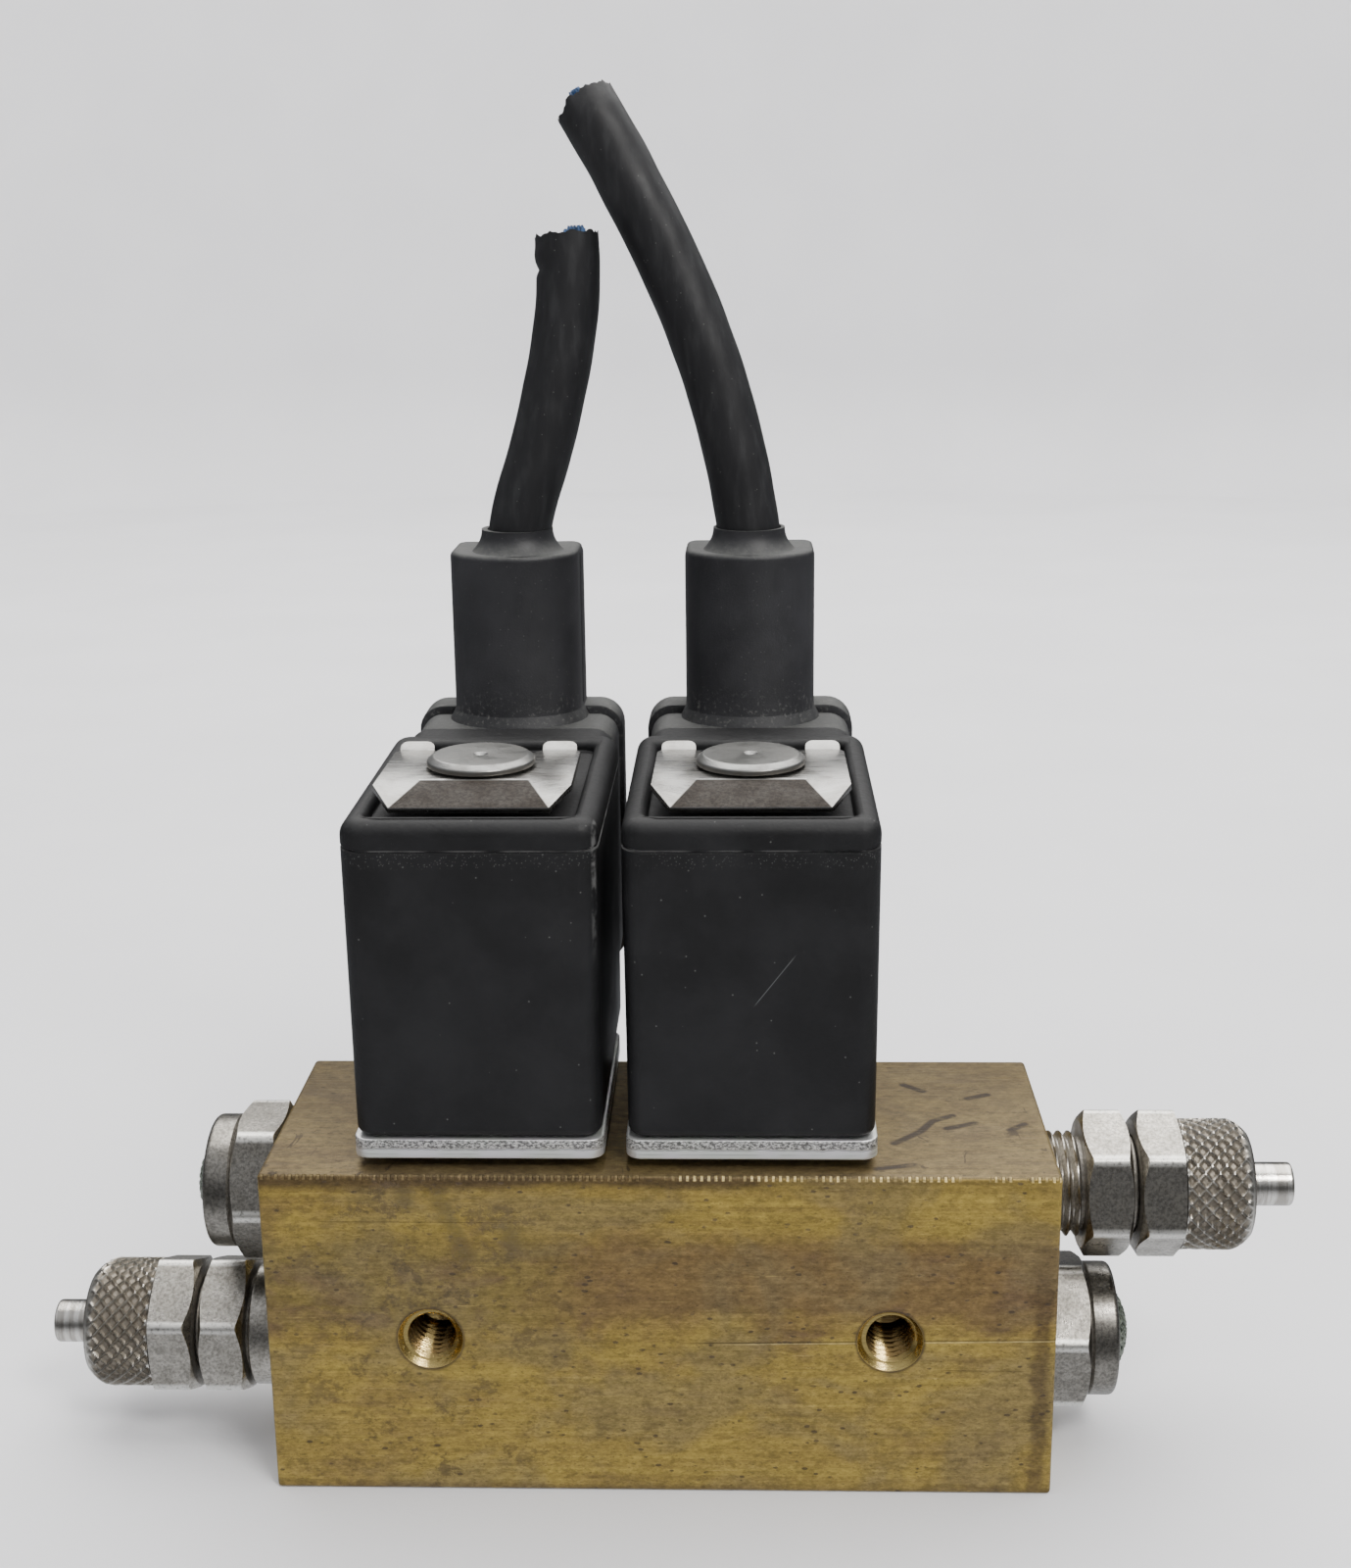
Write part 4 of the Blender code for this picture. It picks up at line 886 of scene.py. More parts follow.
def cable_jacket():
    """Satin black jacket with lengthwise rub marks and a little dust."""
    p = Paint("cable_jacket")
    rub = p.noise(1.1, 5, 0.6, (1, 1, 0.2), 6)
    blur = p.noise(0.35, 4, 0.6, shift=16)
    p.colour = p.mix(p.ramp(rub, 0.45, 0.75), (0.01, 0.01, 0.011), (0.019, 0.0195, 0.0205))
    specks = p.fall(p.cells(1.2, shift=2), 0.04, 0.1) * 0.5
    p.coat(specks, (0.12, 0.12, 0.11))
    rough = p.ramp(blur, 0.3, 0.7, 0.44, 0.54) + p.ramp(rub, 0.5, 0.7) * 0.06
    p.bump(p.noise(2.2, 3, 0.6, (1, 1, 0.4)), 0.015)
    return p.finish(rough, **{"Specular IOR Level": 0.32})


def spring_steel():
    """Bright rolled sheet: brushed lands, a rough front face painted dark brown-grey for the dark it
    reflects, and a painted highlight along the fold.
    """
    p = Paint("spring_steel")
    brushed = p.noise(6.0, 4, 0.6, (0.05, 1, 0.5))
    stain = p.noise(0.45, 4, 0.6, shift=7)
    speckle = p.noise(3.0, 4, 0.75, shift=13)
    off_axis = p.calc("MINIMUM", abs(p.x - VALVE_X["left"]), abs(p.x - VALVE_X["right"]))
    p.colour = p.mix(p.ramp(stain, 0.4, 0.75), (0.4, 0.395, 0.38), (0.29, 0.28, 0.262))
    p.shade(p.ramp(brushed, 0.3, 0.7, 0.85, 1.1))
    beyond = -(p.y - CLIP_FACET[1])
    slope_edge = beyond * 0.49 + CLIP_FACET[0]
    within = p.ramp(slope_edge - off_axis, 0.0, 0.15)
    below_top = p.ramp(p.z + p.y * (-CLIP_DROP / 4.4), 65.62, 65.86)
    apron = within * p.ramp(beyond, 0.05, 0.2) * (below_top * p.ramp(p.facing_z, 0.5, 0.8))
    # the front facet is rough and speckled; its dark brown-grey is a painted reflection of the dark in front
    # of it
    dull = p.mix(p.ramp(stain, 0.4, 0.6), (0.05, 0.044, 0.038), (0.034, 0.028, 0.023))
    dull = p.vector("SCALE", dull, p.ramp(speckle, 0.3, 0.7, 0.6, 1.4))
    p.coat(apron, dull)
    # painted highlight along the fold between the lands and the front facet
    painted_fold_highlight = p.band(p.y, CLIP_FACET[1], 0.06, 0.12) * p.fall(off_axis, CLIP_FACET[0], CLIP_FACET[0] + 0.2)
    p.coat(painted_fold_highlight * 0.5, (0.78, 0.78, 0.76))
    rough = p.ramp(brushed, 0.3, 0.7, 0.24, 0.33) + apron * 0.3
    p.bump(brushed, 0.014)
    p.bump(speckle * apron, 0.04)
    gloss = p.ramp(apron, 0.0, 1.0, 0.5, 0.12)
    return p.finish(rough, p.fall(apron, 0.0, 1.0), **{"Specular IOR Level": gloss})


def core_steel():
    """Turned steel with fine rings on its faces and a warmer tone on its flanks."""
    p = Paint("core_steel")
    rings = p.noise(5.0, 3, 0.6, (0.6, 0.6, 2.5))
    stain = p.noise(0.6, 4, 0.6, shift=2)
    p.colour = p.mix(p.ramp(stain, 0.4, 0.7), (0.3, 0.3, 0.288), (0.22, 0.215, 0.205))
    flank = p.fall(p.facing_z, 0.2, 0.5)
    p.coat(flank * 0.4, (0.26, 0.23, 0.19))
    rough = p.ramp(stain, 0.3, 0.7, 0.28, 0.4) + rings * 0.06
    p.bump(rings, 0.015)
    return p.finish(rough, 1.0)


def wire_mesh():
    """Dull green-grey stainless wire."""
    p = Paint("wire_mesh")
    stain = p.noise(1.2, 4, 0.6, shift=4)
    p.colour = p.mix(p.ramp(stain, 0.4, 0.65), (0.34, 0.37, 0.31), (0.12, 0.14, 0.115))
    p.bump(p.noise(12.0, 2), 0.01)
    return p.finish(p.ramp(stain, 0.3, 0.7, 0.34, 0.5), 0.85)


def seal_rubber():
    p = Paint("seal_rubber")
    grain = p.noise(4.0, 4, 0.65)
    p.colour = p.mix(p.ramp(grain, 0.35, 0.7), (0.012, 0.012, 0.0125), (0.024, 0.024, 0.025))
    p.bump(grain, 0.02)
    return p.finish(p.ramp(grain, 0.3, 0.7, 0.55, 0.7))


def copper():
    """Enamelled copper wire: close turns one above the other, with painted shade between the turns."""
    p = Paint("enamelled_copper")
    turns = p.calc("SINE", p.z * (tau / 0.25))
    tone = p.noise(0.8, 3, 0.6)
    p.colour = p.mix(p.ramp(tone, 0.35, 0.65), (0.42, 0.15, 0.06), (0.52, 0.22, 0.09))
    # painted shade in the grooves between turns
    p.coat(p.ramp(turns, -1.0, -0.4, 0.7, 0.0), (0.1, 0.03, 0.012))
    p.bump(p.ramp(turns, -1, 1), 0.1)
    return p.finish(0.3, 0.9)


def nylon():
    p = Paint("bobbin_nylon")
    tone = p.noise(0.5, 4, 0.6)
    p.colour = p.mix(p.ramp(tone, 0.35, 0.65), (0.55, 0.53, 0.46), (0.47, 0.45, 0.385))
    p.bump(p.noise(4.0, 3), 0.02)
    return p.finish(0.45, **{"Subsurface Weight": 0.05})


def insulation(name, colour):
    """A conductor's insulation, torn and smeared at its end."""
    p = Paint(name)
    smear = p.noise(2.5, 4, 0.7)
    dark = tuple(0.35 * value for value in colour)
    p.colour = p.mix(p.ramp(smear, 0.4, 0.65), colour, dark)
    p.bump(smear, 0.1)
    return p.finish(0.5)


BRASS = brass()
FITTING_NICKEL = {}
NUT_NICKEL = {}
SILENCER_NICKEL = {}
for side in SIDE_SIGN:
    FITTING_NICKEL[side] = nickel(f"nickel_fitting_{side}", FITTING[side].centre.z, FITTING_FLATS)
    NUT_NICKEL[side] = nickel(f"nickel_nut_{side}", FITTING[side].centre.z, FITTING_FLATS, side)
    height = SILENCER[side].centre.z
    SILENCER_NICKEL[side] = nickel(f"nickel_silencer_{side}", height, SILENCER_FLATS, tone=0.62)
ZINC = zinc()
COIL_PLASTIC = coil_plastic()
CONNECTOR_PLASTIC = connector_plastic()
CABLE_JACKET = cable_jacket()
SPRING_STEEL = spring_steel()
CORE_STEEL = core_steel()
WIRE_MESH = wire_mesh()
SEAL_RUBBER = seal_rubber()
COPPER = copper()
NYLON = nylon()
BLUE_CORE = insulation("blue_insulation", (0.03, 0.09, 0.22))
DARK_FILLER = insulation("cable_filler", (0.03, 0.032, 0.036))
DARK_FELT = insulation("dark_felt", (0.03, 0.036, 0.03))


# --- camera ---

CAMERA_PLACE = (7.863, -177.550, 110.761)
CAMERA_YAW = radians(-2.042)
CAMERA_PITCH = radians(15.119)
CAMERA_ROLL = radians(0.669)
CAMERA_LENS = 47.663


def make_camera():
    camera = bpy.data.cameras.new("camera")
    camera.lens = CAMERA_LENS
    camera.sensor_fit = "VERTICAL"
    camera.sensor_height = camera.sensor_width = 36
    camera.clip_start = 0.01
    camera.clip_end = 50
    thing = bpy.data.objects.new("camera", camera)
    bpy.context.collection.objects.link(thing)
    flat = cos(CAMERA_PITCH)
    ahead = Vector((sin(CAMERA_YAW) * flat, cos(CAMERA_YAW) * flat, -sin(CAMERA_PITCH)))
    level = Vector((cos(CAMERA_YAW), -sin(CAMERA_YAW), 0))
    down = ahead.cross(level)
    right = cos(CAMERA_ROLL) * level + sin(CAMERA_ROLL) * down
    below = cos(CAMERA_ROLL) * down - sin(CAMERA_ROLL) * level
    turn = Matrix((right, -below, -ahead)).transposed()
    thing.matrix_world = Matrix.Translation(Vector(CAMERA_PLACE) * MM) @ turn.to_4x4()
    bpy.context.scene.camera = thing


# --- cables ---


def through_points(points, spacing):
    """Points at an even spacing on a smooth curve through the given points."""
    places = [Vector(point) for point in points]
    ends = [2 * places[0] - places[1], *places, 2 * places[-1] - places[-2]]
    fine = []
    steps = 40
    for before, start, end, after in zip(ends, ends[1:], ends[2:], ends[3:]):
        for step in range(steps):
            t = step / steps
            curve = 2 * start + (end - before) * t
            curve += (2 * before - 5 * start + 4 * end - after) * t**2
            curve += (3 * start - before - 3 * end + after) * t**3
            fine.append(0.5 * curve)
    fine.append(places[-1])
    total = sum((b - a).length for a, b in zip(fine, fine[1:]))
    count = round(total / spacing)
    even = [fine[0]]
    walked = 0.0
    for a, b in zip(fine, fine[1:]):
        walked += (b - a).length
        while len(even) < count and walked >= total * len(even) / count:
            even.append(b.copy())
    even.append(fine[-1])
    return even, total


def smooth_step(value, low, high):
    share = min(1.0, max(0.0, (value - low) / (high - low)))
    return share * share * (3 - 2 * share)


def end_height(side, across):
    """How far the cut end stands up at a place across the cable, which goes from -1 to 1."""
    if side == "left":
        return END_SLOPE * across
    return END_RISE * smooth_step(across, -1.0, -0.3) * (1 - 0.6 * smooth_step(across, 0.55, 1.05))


def make_cable(side):
    axis = Vector((VALVE_X[side], 0, 0))
    path, length = through_points(CABLE_ROUTE[side], 0.8)
    path = [point + axis for point in path]
    route, _ = through_points(CABLE_ROUTE[side], 0.4)
    route = [point + axis for point in route]
    sides = 64
    end = route[-1]
    ahead = (end - route[-2]).normalized()
    across = (Vector((1, 0, 0)) - ahead * ahead.x).normalized()
    other = ahead.cross(across)
    spacing = length / (len(route) - 1)

    def radius_at(index, angle):
        ripple = 0.02 * sin(3 * angle + 0.17 * index) + 0.015 * sin(5 * angle - 0.45 * index)
        below_end = (len(route) - 1 - index) * spacing
        dent = 0.0
        if side == "left":
            facing_left = max(0.0, -cos(angle)) ** 2
            notch = exp(-(((below_end - NOTCH_BELOW_END) / 0.42) ** 2))
            bulge = exp(-(((below_end - NOTCH_BELOW_END + 1.5) / 0.8) ** 2))
            dent = facing_left * (0.3 * notch - 0.14 * bulge)
        return CABLE_RADIUS - 0.04 + ripple - dent

    shape = swept(route, radius_at, sides)
    shape.verts.ensure_lookup_table()
    top_ring = shape.verts[-sides:]
    end_face = next(face for face in shape.faces if len(face.verts) == sides and face.verts[0] in top_ring)
    near_end = [v for v in shape.verts if (v.co - end).dot(ahead) > -TORN_LENGTH]
    bmesh.ops.inset_individual(shape, faces=[end_face], thickness=JACKET_WALL)
    inner = list(end_face.verts)
    pinch = 0.3 if side == "right" else 0.0
    for vertex in near_end:
        offset = vertex.co - end
        share = max(0.0, 1 + offset.dot(ahead) / TORN_LENGTH) ** 2
        angle = atan2(offset.dot(other), offset.dot(across))
        spikes = max(0.0, sin(9 * angle + 1)) ** 3 + 0.6 * max(0.0, sin(17 * angle + 2)) ** 4
        ragged = 0.34 * spikes - 0.28 + 0.07 * sin(29 * angle)
        height = end_height(side, offset.dot(across) / CABLE_RADIUS) + ragged
        vertex.co += ahead * share * height - other * (share * pinch * offset.dot(other))
    for vertex in inner:
        offset = vertex.co - end
        height = end_height(side, offset.dot(across) / CABLE_RADIUS)
        vertex.co += ahead * (0.75 * height - 0.8) - other * (pinch * offset.dot(other))
    name = f"cable_{side}"
    piece = add_piece(f"{name}_jacket", shape, CABLE_JACKET, f"coil_{side}", [name])
    cores = make_cable_cores(side, end, ahead, across)
    tuple(path[0] * MM)
    length * MM
    [tuple(point * MM) for point in path]


def make_cable_cores(side, end, ahead, across):
    """What shows in the cut end: dark filler and torn bits of blue insulation."""
    other = ahead.cross(across)
    pinch = 0.7 if side == "right" else 1.0
    filler_radius = CABLE_RADIUS - JACKET_WALL - 0.1
    sections = []
    for depth, share in ((1.6, 1.0), (0.9, 1.0), (0.5, 0.86)):
        ring = []
        for step in range(48):
            angle = tau * step / 48
            radius = filler_radius * share + 0.09 * sin(5 * angle) + 0.06 * sin(11 * angle + depth)
            x = radius * cos(angle)
            height = 0.8 * end_height(side, x / CABLE_RADIUS) * (share < 1 or depth < 1)
            place = end + across * x + other * (radius * sin(angle) * pinch)
            ring.append(place + ahead * (height - depth + (0.12 * sin(7 * angle) if share < 1 else 0)))
        sections.append(ring)
    parent = add_piece(f"cable_filler_{side}", stacked(sections), DARK_FILLER, f"coil_{side}")
    middle, half = BITS[side]
    shapes = []
    strands = 13
    for number in range(strands):
        x = middle + half * (2 * ((number * 5) % strands) / (strands - 1) - 1)
        y = (1.3 * ((number * 8) % strands) / (strands - 1) - 0.9) * pinch
        top = end_height(side, x / CABLE_RADIUS)
        foot = end + across * x + other * y + ahead * (0.8 * top - 0.75)
        height = 1.0 + 0.55 * ((number * 4) % strands) / strands + 0.2 * top
        bend = (across * sin(2.1 * number) + other * cos(1.7 * number)) * 0.22
        points = [foot - ahead * 0.3, foot + ahead * height * 0.5 + bend * 0.4, foot + ahead * height + bend]
        shapes.append(swept(points, lambda index, angle: (0.32, 0.27, 0.1)[index] + 0.04 * cos(3 * angle), 9))
    bits = add_piece(f"cable_cores_{side}", merged(shapes), BLUE_CORE, f"coil_{side}")
    return [parent, bits]


# --- manifold ---


def helical(root, crest, pitch, start, end, rows_per_turn=8, sides=64):
    """A threaded rod about Z."""
    count = round((end - start) / pitch * rows_per_turn)
    rows = [start + (end - start) * row / count for row in range(count + 1)]

    def radius_at(angle, z):
        phase = (z / pitch - angle / tau) % 1
        tooth = 1 - abs(2 * phase - 1)
        return root + (crest - root) * min(1.0, max(0.0, 1.35 * tooth - 0.15))

    return wavy(rows, sides, radius_at)


def bolt_hole(x):
    mouth = BLOCK.high.y
    floor_z = mouth - BOLT_DEPTH
    bore = turned(
        [
            (0, floor_z), (BOLT_CORE, floor_z + 1), (BOLT_CORE, mouth - 0.6), (BOLT_CREST, mouth - 0.6),
            (BOLT_SINK, mouth), (BOLT_SINK, mouth + 1), (0, mouth + 1),
        ],
        64,
    )
    thread = helical(BOLT_CORE + 0.02, BOLT_CREST, BOLT_PITCH, floor_z + 1.6, mouth - 0.5)
    return placed(joined(bore, thread), TO_FRONT, (x, 0, BOLT_Z))


def port_hole(side, height, reach):
    end = BLOCK_END
    outline = [
        (0, reach), (GALLERY, reach), (GALLERY, end - PORT_DEPTH - 0.8), (PORT_BORE, end - PORT_DEPTH),
        (PORT_BORE, end - 0.5), (PORT_BORE + 0.5, end), (PORT_BORE + 0.5, end + 1), (0, end + 1),
    ]
    return placed(turned(outline, 64), OUTWARDS[side], (0, 0, height))


def valve_chamber(x):
    outline = [
        (0, 9.4), (0.9, 9.4), (0.9, SEAT_TOP), (1.9, SEAT_TOP), (2.3, CHAMBER_FLOOR),
        (CHAMBER, CHAMBER_FLOOR), (CHAMBER, SEAL_GROOVE_FLOOR), (SEAL_GROOVE, SEAL_GROOVE_FLOOR),
        (SEAL_GROOVE, BLOCK.high.z + 1), (0, BLOCK.high.z + 1),
    ]
    return placed(turned(outline, 48), None, (x, 0, 0))


def make_block():
    low, high = BLOCK.low, BLOCK.high
    shape = box(low, high)
    edges = list(shape.edges)
    bmesh.ops.bevel(shape, geom=edges, offset=BLOCK_EDGE, segments=3, profile=0.5, affect="EDGES")
    holes = [bolt_hole(BOLT_X), bolt_hole(-BOLT_X)]
    heights = (FITTING["left"].centre.z, SILENCER["left"].centre.z)
    low_port, high_port = min(heights), max(heights)
    for side, x in VALVE_X.items():
        outwards = SIDE_SIGN[side] * x
        holes.append(valve_chamber(x))
        holes.append(port_hole(side, low_port, outwards))
        holes.append(port_hole(side, high_port, outwards + CHAMBER - 0.5))
    add_piece("brass_block", cut(shape, *holes), BRASS, "manifold", ["manifold_block"])


# --- core, clip and yoke ---


def make_core(side):
    top = CORE[side].high.z
    bottom = CORE[side].low.z
    head = CORE[side].size.x / 2 - 0.1
    outline = filleted(
        [
            (0, bottom), (CORE_STEM, bottom, 0.15), (CORE_STEM, COLLAR_Z[0]), (CORE_COLLAR, COLLAR_Z[0]),
            (CORE_COLLAR, COLLAR_Z[1], 0.1), (4.6, GROOVE_Z[0]), (CORE_GROOVE, GROOVE_Z[0]),
            (CORE_GROOVE, GROOVE_Z[1]), (head, GROOVE_Z[1], 0.05), (head, top - 0.42, 0.3),
            (head - 0.6, top, 0.45), (0.62, top, 0.12), (0.3, top - 0.3, 0.2), (0, top - 0.36),
        ]
    )
    add_valve_piece("pole_core", side, turned(outline), CORE_STEEL, "manifold", "fixed_core")


def make_clip(side):
    """A sheet fork: flat lands, a front edge bent down in three facets, and two raised lips."""
    shape = bmesh.new()

    def at(x, y, z=CLIP_TOP):
        return shape.verts.new((x, y, z))

    arc = []
    arc_steps = 32
    for step in range(arc_steps + 1):
        angle = -pi * step / arc_steps
        arc.append(at(CLIP_SLOT * cos(angle), CLIP_SLOT * sin(angle)))
    halves = []
    for sign in (1, -1):
        throat = at(sign * CLIP_SLOT, CLIP_BEND - 1)
        inner = at(sign * LIP_INNER, CLIP_BEND)
        outer = at(sign * LIP_OUTER, CLIP_BEND)
        shoulder = at(sign * CLIP_SHOULDER, CLIP_BEND - 0.6)
        tip = at(sign * CLIP_HALF, CLIP_FOLD)
        facet = at(sign * CLIP_FACET[0], CLIP_FACET[1])
        corner = at(sign * CLIP_CORNER, CLIP_FOLD - CLIP_REACH, CLIP_TOP - CLIP_DROP)
        shape.faces.new((tip, corner, facet))
        lip = [inner, outer]
        for middle, turn in ((LIP_OUTER - LIP_CORNER, 0), (LIP_INNER + LIP_CORNER, pi / 2)):
            for step in range(5):
                angle = turn + pi / 2 * step / 4
                share = 0.35 + 0.65 * sin(angle)
                x = middle + LIP_CORNER * cos(angle)
                lip.append(at(sign * x, CLIP_BEND + share * LIP_RUN, CLIP_TOP + share * LIP_RISE))
        shape.faces.new(lip)
        halves.append((throat, inner, outer, shoulder, tip, facet, corner))
    right, left = halves
    shape.faces.new([*right[5::-1], *arc, *left[:6]])
    shape.faces.new((left[5], left[6], right[6], right[5]))
    shape.normal_update()
    bmesh.ops.triangulate(shape, faces=shape.faces)
    bmesh.ops.recalc_face_normals(shape, faces=shape.faces)
    if sum(face.normal.z for face in shape.faces) < 0:
        bmesh.ops.reverse_faces(shape, faces=shape.faces)
    thing = to_object("sheet", shape)
    solidify = thing.modifiers.new("sheet", "SOLIDIFY")
    solidify.thickness = CLIP_SHEET
    solidify.offset = -1
    bevel = thing.modifiers.new("edges", "BEVEL")
    bevel.width = 0.09
    bevel.segments = 2
    bevel.limit_method = "ANGLE"
    bevel.angle_limit = radians(50)
    solid = applied(thing)
    body = f"clip_{side}"
    add_valve_piece("clip_fork", side, solid, SPRING_STEEL, body, "retaining_clip")


def make_spring(side):
    """The plunger's return spring, a fixed helix from the spring floor up to the fixed core."""
    bottom = SPRING_FLOOR + SPRING_WIRE + 0.05
    top = CORE[side].low.z - SPRING_WIRE - 0.05
    steps = SPRING_TURNS * 20
    points = []
    for step in range(steps + 1):
        angle = tau * SPRING_TURNS * step / steps
        height = bottom + (top - bottom) * step / steps
        points.append((SPRING_RADIUS * cos(angle), SPRING_RADIUS * sin(angle), height))
    shape = swept(points, lambda index, angle: SPRING_WIRE, 10)
    ends = [(VALVE_X[side] * MM, 0, height * MM) for height in (bottom, top)]
    bodies = (f"plunger_{side}", "manifold", *ends)
    add_valve_piece("return_spring", side, shape, SPRING_STEEL, bodies, "plunger_spring")


def make_yoke(side):
    lower = slab(
        (-COIL_HALF, COIL_FRONT, YOKE_BOTTOM), (COIL_HALF, YOKE_BACK, YOKE_BOTTOM + YOKE_SHEET), 1.4, 0.14
    )
    leg = box((-7, YOKE_BACK - YOKE_SHEET, YOKE_BOTTOM + 1), (7, YOKE_BACK - 0.01, YOKE_TOP - 1))
    upper = slab((-8.8, -8.8, YOKE_TOP - YOKE_SHEET), (8.8, YOKE_BACK, YOKE_TOP), 0.6, 0.14)
    bore = disc(COIL_BORE, YOKE_BOTTOM - 1, YOKE_TOP + 1)
    shape = cut(joined(lower, leg, upper), bore)
    add_coil_piece("yoke_frame", side, shape, ZINC, "yoke")


# --- coil casing ---


def contact_holes(start, end, extra):
    holes = []
    for x, z, width, height in BLADES:
        low = (x - width / 2 - extra, start, z - height / 2 - extra)
        high = (x + width / 2 + extra, end, z + height / 2 + extra)
        holes.append(box(low, high))
    return holes


def make_casing(side):
    rect = (-COIL_HALF, COIL_FRONT, COIL_HALF, COIL_BACK)
    bottom_edge = 0.75
    top_edge = 1.5
    groove = 0.14
    sections = []
    for section in edge_layers(COIL_BOTTOM, rect, COIL_CORNER, bottom_edge, 1):
        sections.append([(x * (1 - COIL_DRAFT / COIL_HALF), y, z) for x, y, z in section])
    for z, inset in ((-0.26, 0.0), (-0.18, groove), (-0.02, groove), (0.06, 0.0)):
        ring = []
        for x, y, _ in layer(0, rect, COIL_CORNER, inset):
            corner = min(1.0, max(0.0, (abs(x) - COIL_HALF + COIL_CORNER) / COIL_CORNER))
            rise = 0.3 * corner if y < 0 else 0.0
            ring.append((x, y, COIL_SEAM + z + rise))
        sections.append(ring)
    sections += edge_layers(COIL_TOP, rect, COIL_CORNER, top_edge, -1, 8)
    pocket_corner = 1.2
    lip = 0.65
    for drop, spread in quarter(4):
        sections.append(layer(COIL_TOP - lip * drop, POCKET, pocket_corner, -lip * spread))
    sections.append(layer(POCKET_FLOOR + 0.1, POCKET, pocket_corner))
    sections.append(layer(POCKET_FLOOR, POCKET, pocket_corner, 0.1))
    body = stacked(sections)
    back = TERMINAL_BACK
    terminal = upright(
        TERMINAL_HALF, TERMINAL_Z, 2.2,
        [(COIL_BACK - 2, 0), (back - 0.5, 0), (back - 0.35, 0.03), (back - 0.12, 0.16), (back, 0.42)],
    )
    cavity = box((-CAVITY_HALF, CAVITY_FRONT, COIL_BOTTOM - 1), (CAVITY_HALF, YOKE_BACK + 0.2, CAVITY_TOP))
    bore = disc(COIL_BORE, COIL_BOTTOM, COIL_TOP + 1)
    holes = contact_holes(BLADE_START, back + 1, 0.1)
    holes.append(placed(disc(1.65, 19.0, back + 1, 32), TO_BACK, (0, 0, SCREW_Z)))
    shape = cut(joined(body, terminal), cavity, bore, *holes)
    add_coil_piece("coil_body", side, shape, COIL_PLASTIC, "coil_casing")


# --- connector ---


def boss_section(z, inset=0.0):
    """The boss's outline at one height: round in front, flat behind."""
    radius = BOSS_RADIUS - inset
    back = BOSS_BACK - inset
    steps = 40
    points = [(radius, back - 0.4, z), (radius - 0.12, back - 0.12, z), (radius - 0.4, back, z)]
    points += [(-x, y, z) for x, y, _ in points[::-1]]
    for step in range(steps + 1):
        angle = pi + pi * step / steps
        points.append((radius * cos(angle), BOSS_Y + BOSS_FLATNESS * radius * sin(angle), z))
    return points


def make_connector(side):
    soft = 0.35
    levels = [(PLUG_FRONT + soft * rise, PLUG_INSET + soft * inset) for rise, inset in quarter(4)]
    groove = PLUG_INSET + 0.45
    levels += [(PLUG_STEP - 0.45, PLUG_INSET), (PLUG_STEP - 0.3, PLUG_INSET + 0.1)]
    levels += [(PLUG_STEP - 0.22, groove), (PLUG_STEP + 0.02, groove)]
    levels += [(PLUG_STEP + 0.08, 0.3), (PLUG_STEP + 0.16, 0.1), (PLUG_STEP + 0.34, 0.0)]
    back_edge = 1.2
    levels += [(PLUG_BACK - back_edge * depth, back_edge * inset) for inset, depth in quarter(6)]
    plug = plug_shape(levels)

    sections = [boss_section(PLUG_Z[1] - 4)]
    sections += [boss_section(PLUG_Z[1] + 0.3 - 1.3 * spread, -0.7 * spread) for _, spread in quarter(4)]
    sections += [boss_section(BOSS_TOP - 0.6 * depth, 0.6 * inset) for inset, depth in quarter(5)]
    boss = stacked(sections)
    slab_levels = [(BOSS_SLAB, 0.3), (BOSS_SLAB + 0.1, 0.08), (BOSS_SLAB + 0.3, 0)]
    slab_levels += [(BOSS_BACK - 0.3, 0), (BOSS_BACK, 0.3)]
    boss_slab = upright(BOSS_RADIUS + 0.12, (PLUG_Z[1] - 4, BOSS_TOP), 1.1, slab_levels)
    profile = [(0, BOSS_TOP - 2), (COLLAR_BASE + 0.1, BOSS_TOP - 2), (COLLAR_BASE + 0.1, BOSS_TOP - 0.02)]
    flare_steps = 10
    for step in range(flare_steps + 1):
        t = step / flare_steps
        radius = COLLAR_LIP + (COLLAR_BASE - COLLAR_LIP) * (1 - t) ** 2.2
        profile.append((radius, BOSS_TOP + 0.05 + (COLLAR_TOP - BOSS_TOP - 0.05) * t))
    profile.append((0, COLLAR_TOP))
    lip_x, lip_y, _ = CABLE_ROUTE[side][COLLAR_POINT]
    collar = placed(turned(profile, 64), None, (0.6 * lip_x, lip_y, 0))
    shape = joined(plug, boss, boss_slab, collar)

    holes = contact_holes(PLUG_FRONT - 1, PLUG_STEP, 0.2)
    holes.append(placed(disc(SCREW_HOLE, PLUG_FRONT - 1, PLUG_BACK - 1, 32), TO_BACK, (0, 0, SCREW_Z)))
    holes.append(placed(disc(SCREW_SINK, PLUG_BACK - 2.2, PLUG_BACK + 1, 48), TO_BACK, (0, 0, SCREW_Z)))
    start_x, start_y, start_z = CABLE_ROUTE[side][0]
    lean = (lip_x - start_x) / (CABLE_ROUTE[side][COLLAR_POINT][2] - start_z)
    bore = disc(CABLE_RADIUS + 0.1, start_z - 0.6, COLLAR_TOP + 1, 64)
    shear = Matrix(((1, 0, lean), (0, 1, 0), (0, 0, 1)))
    holes.append(placed(bore, shear, (start_x - lean * start_z, start_y, 0)))
    add_coil_piece("plug", side, cut(shape, *holes), CONNECTOR_PLASTIC, "connector")


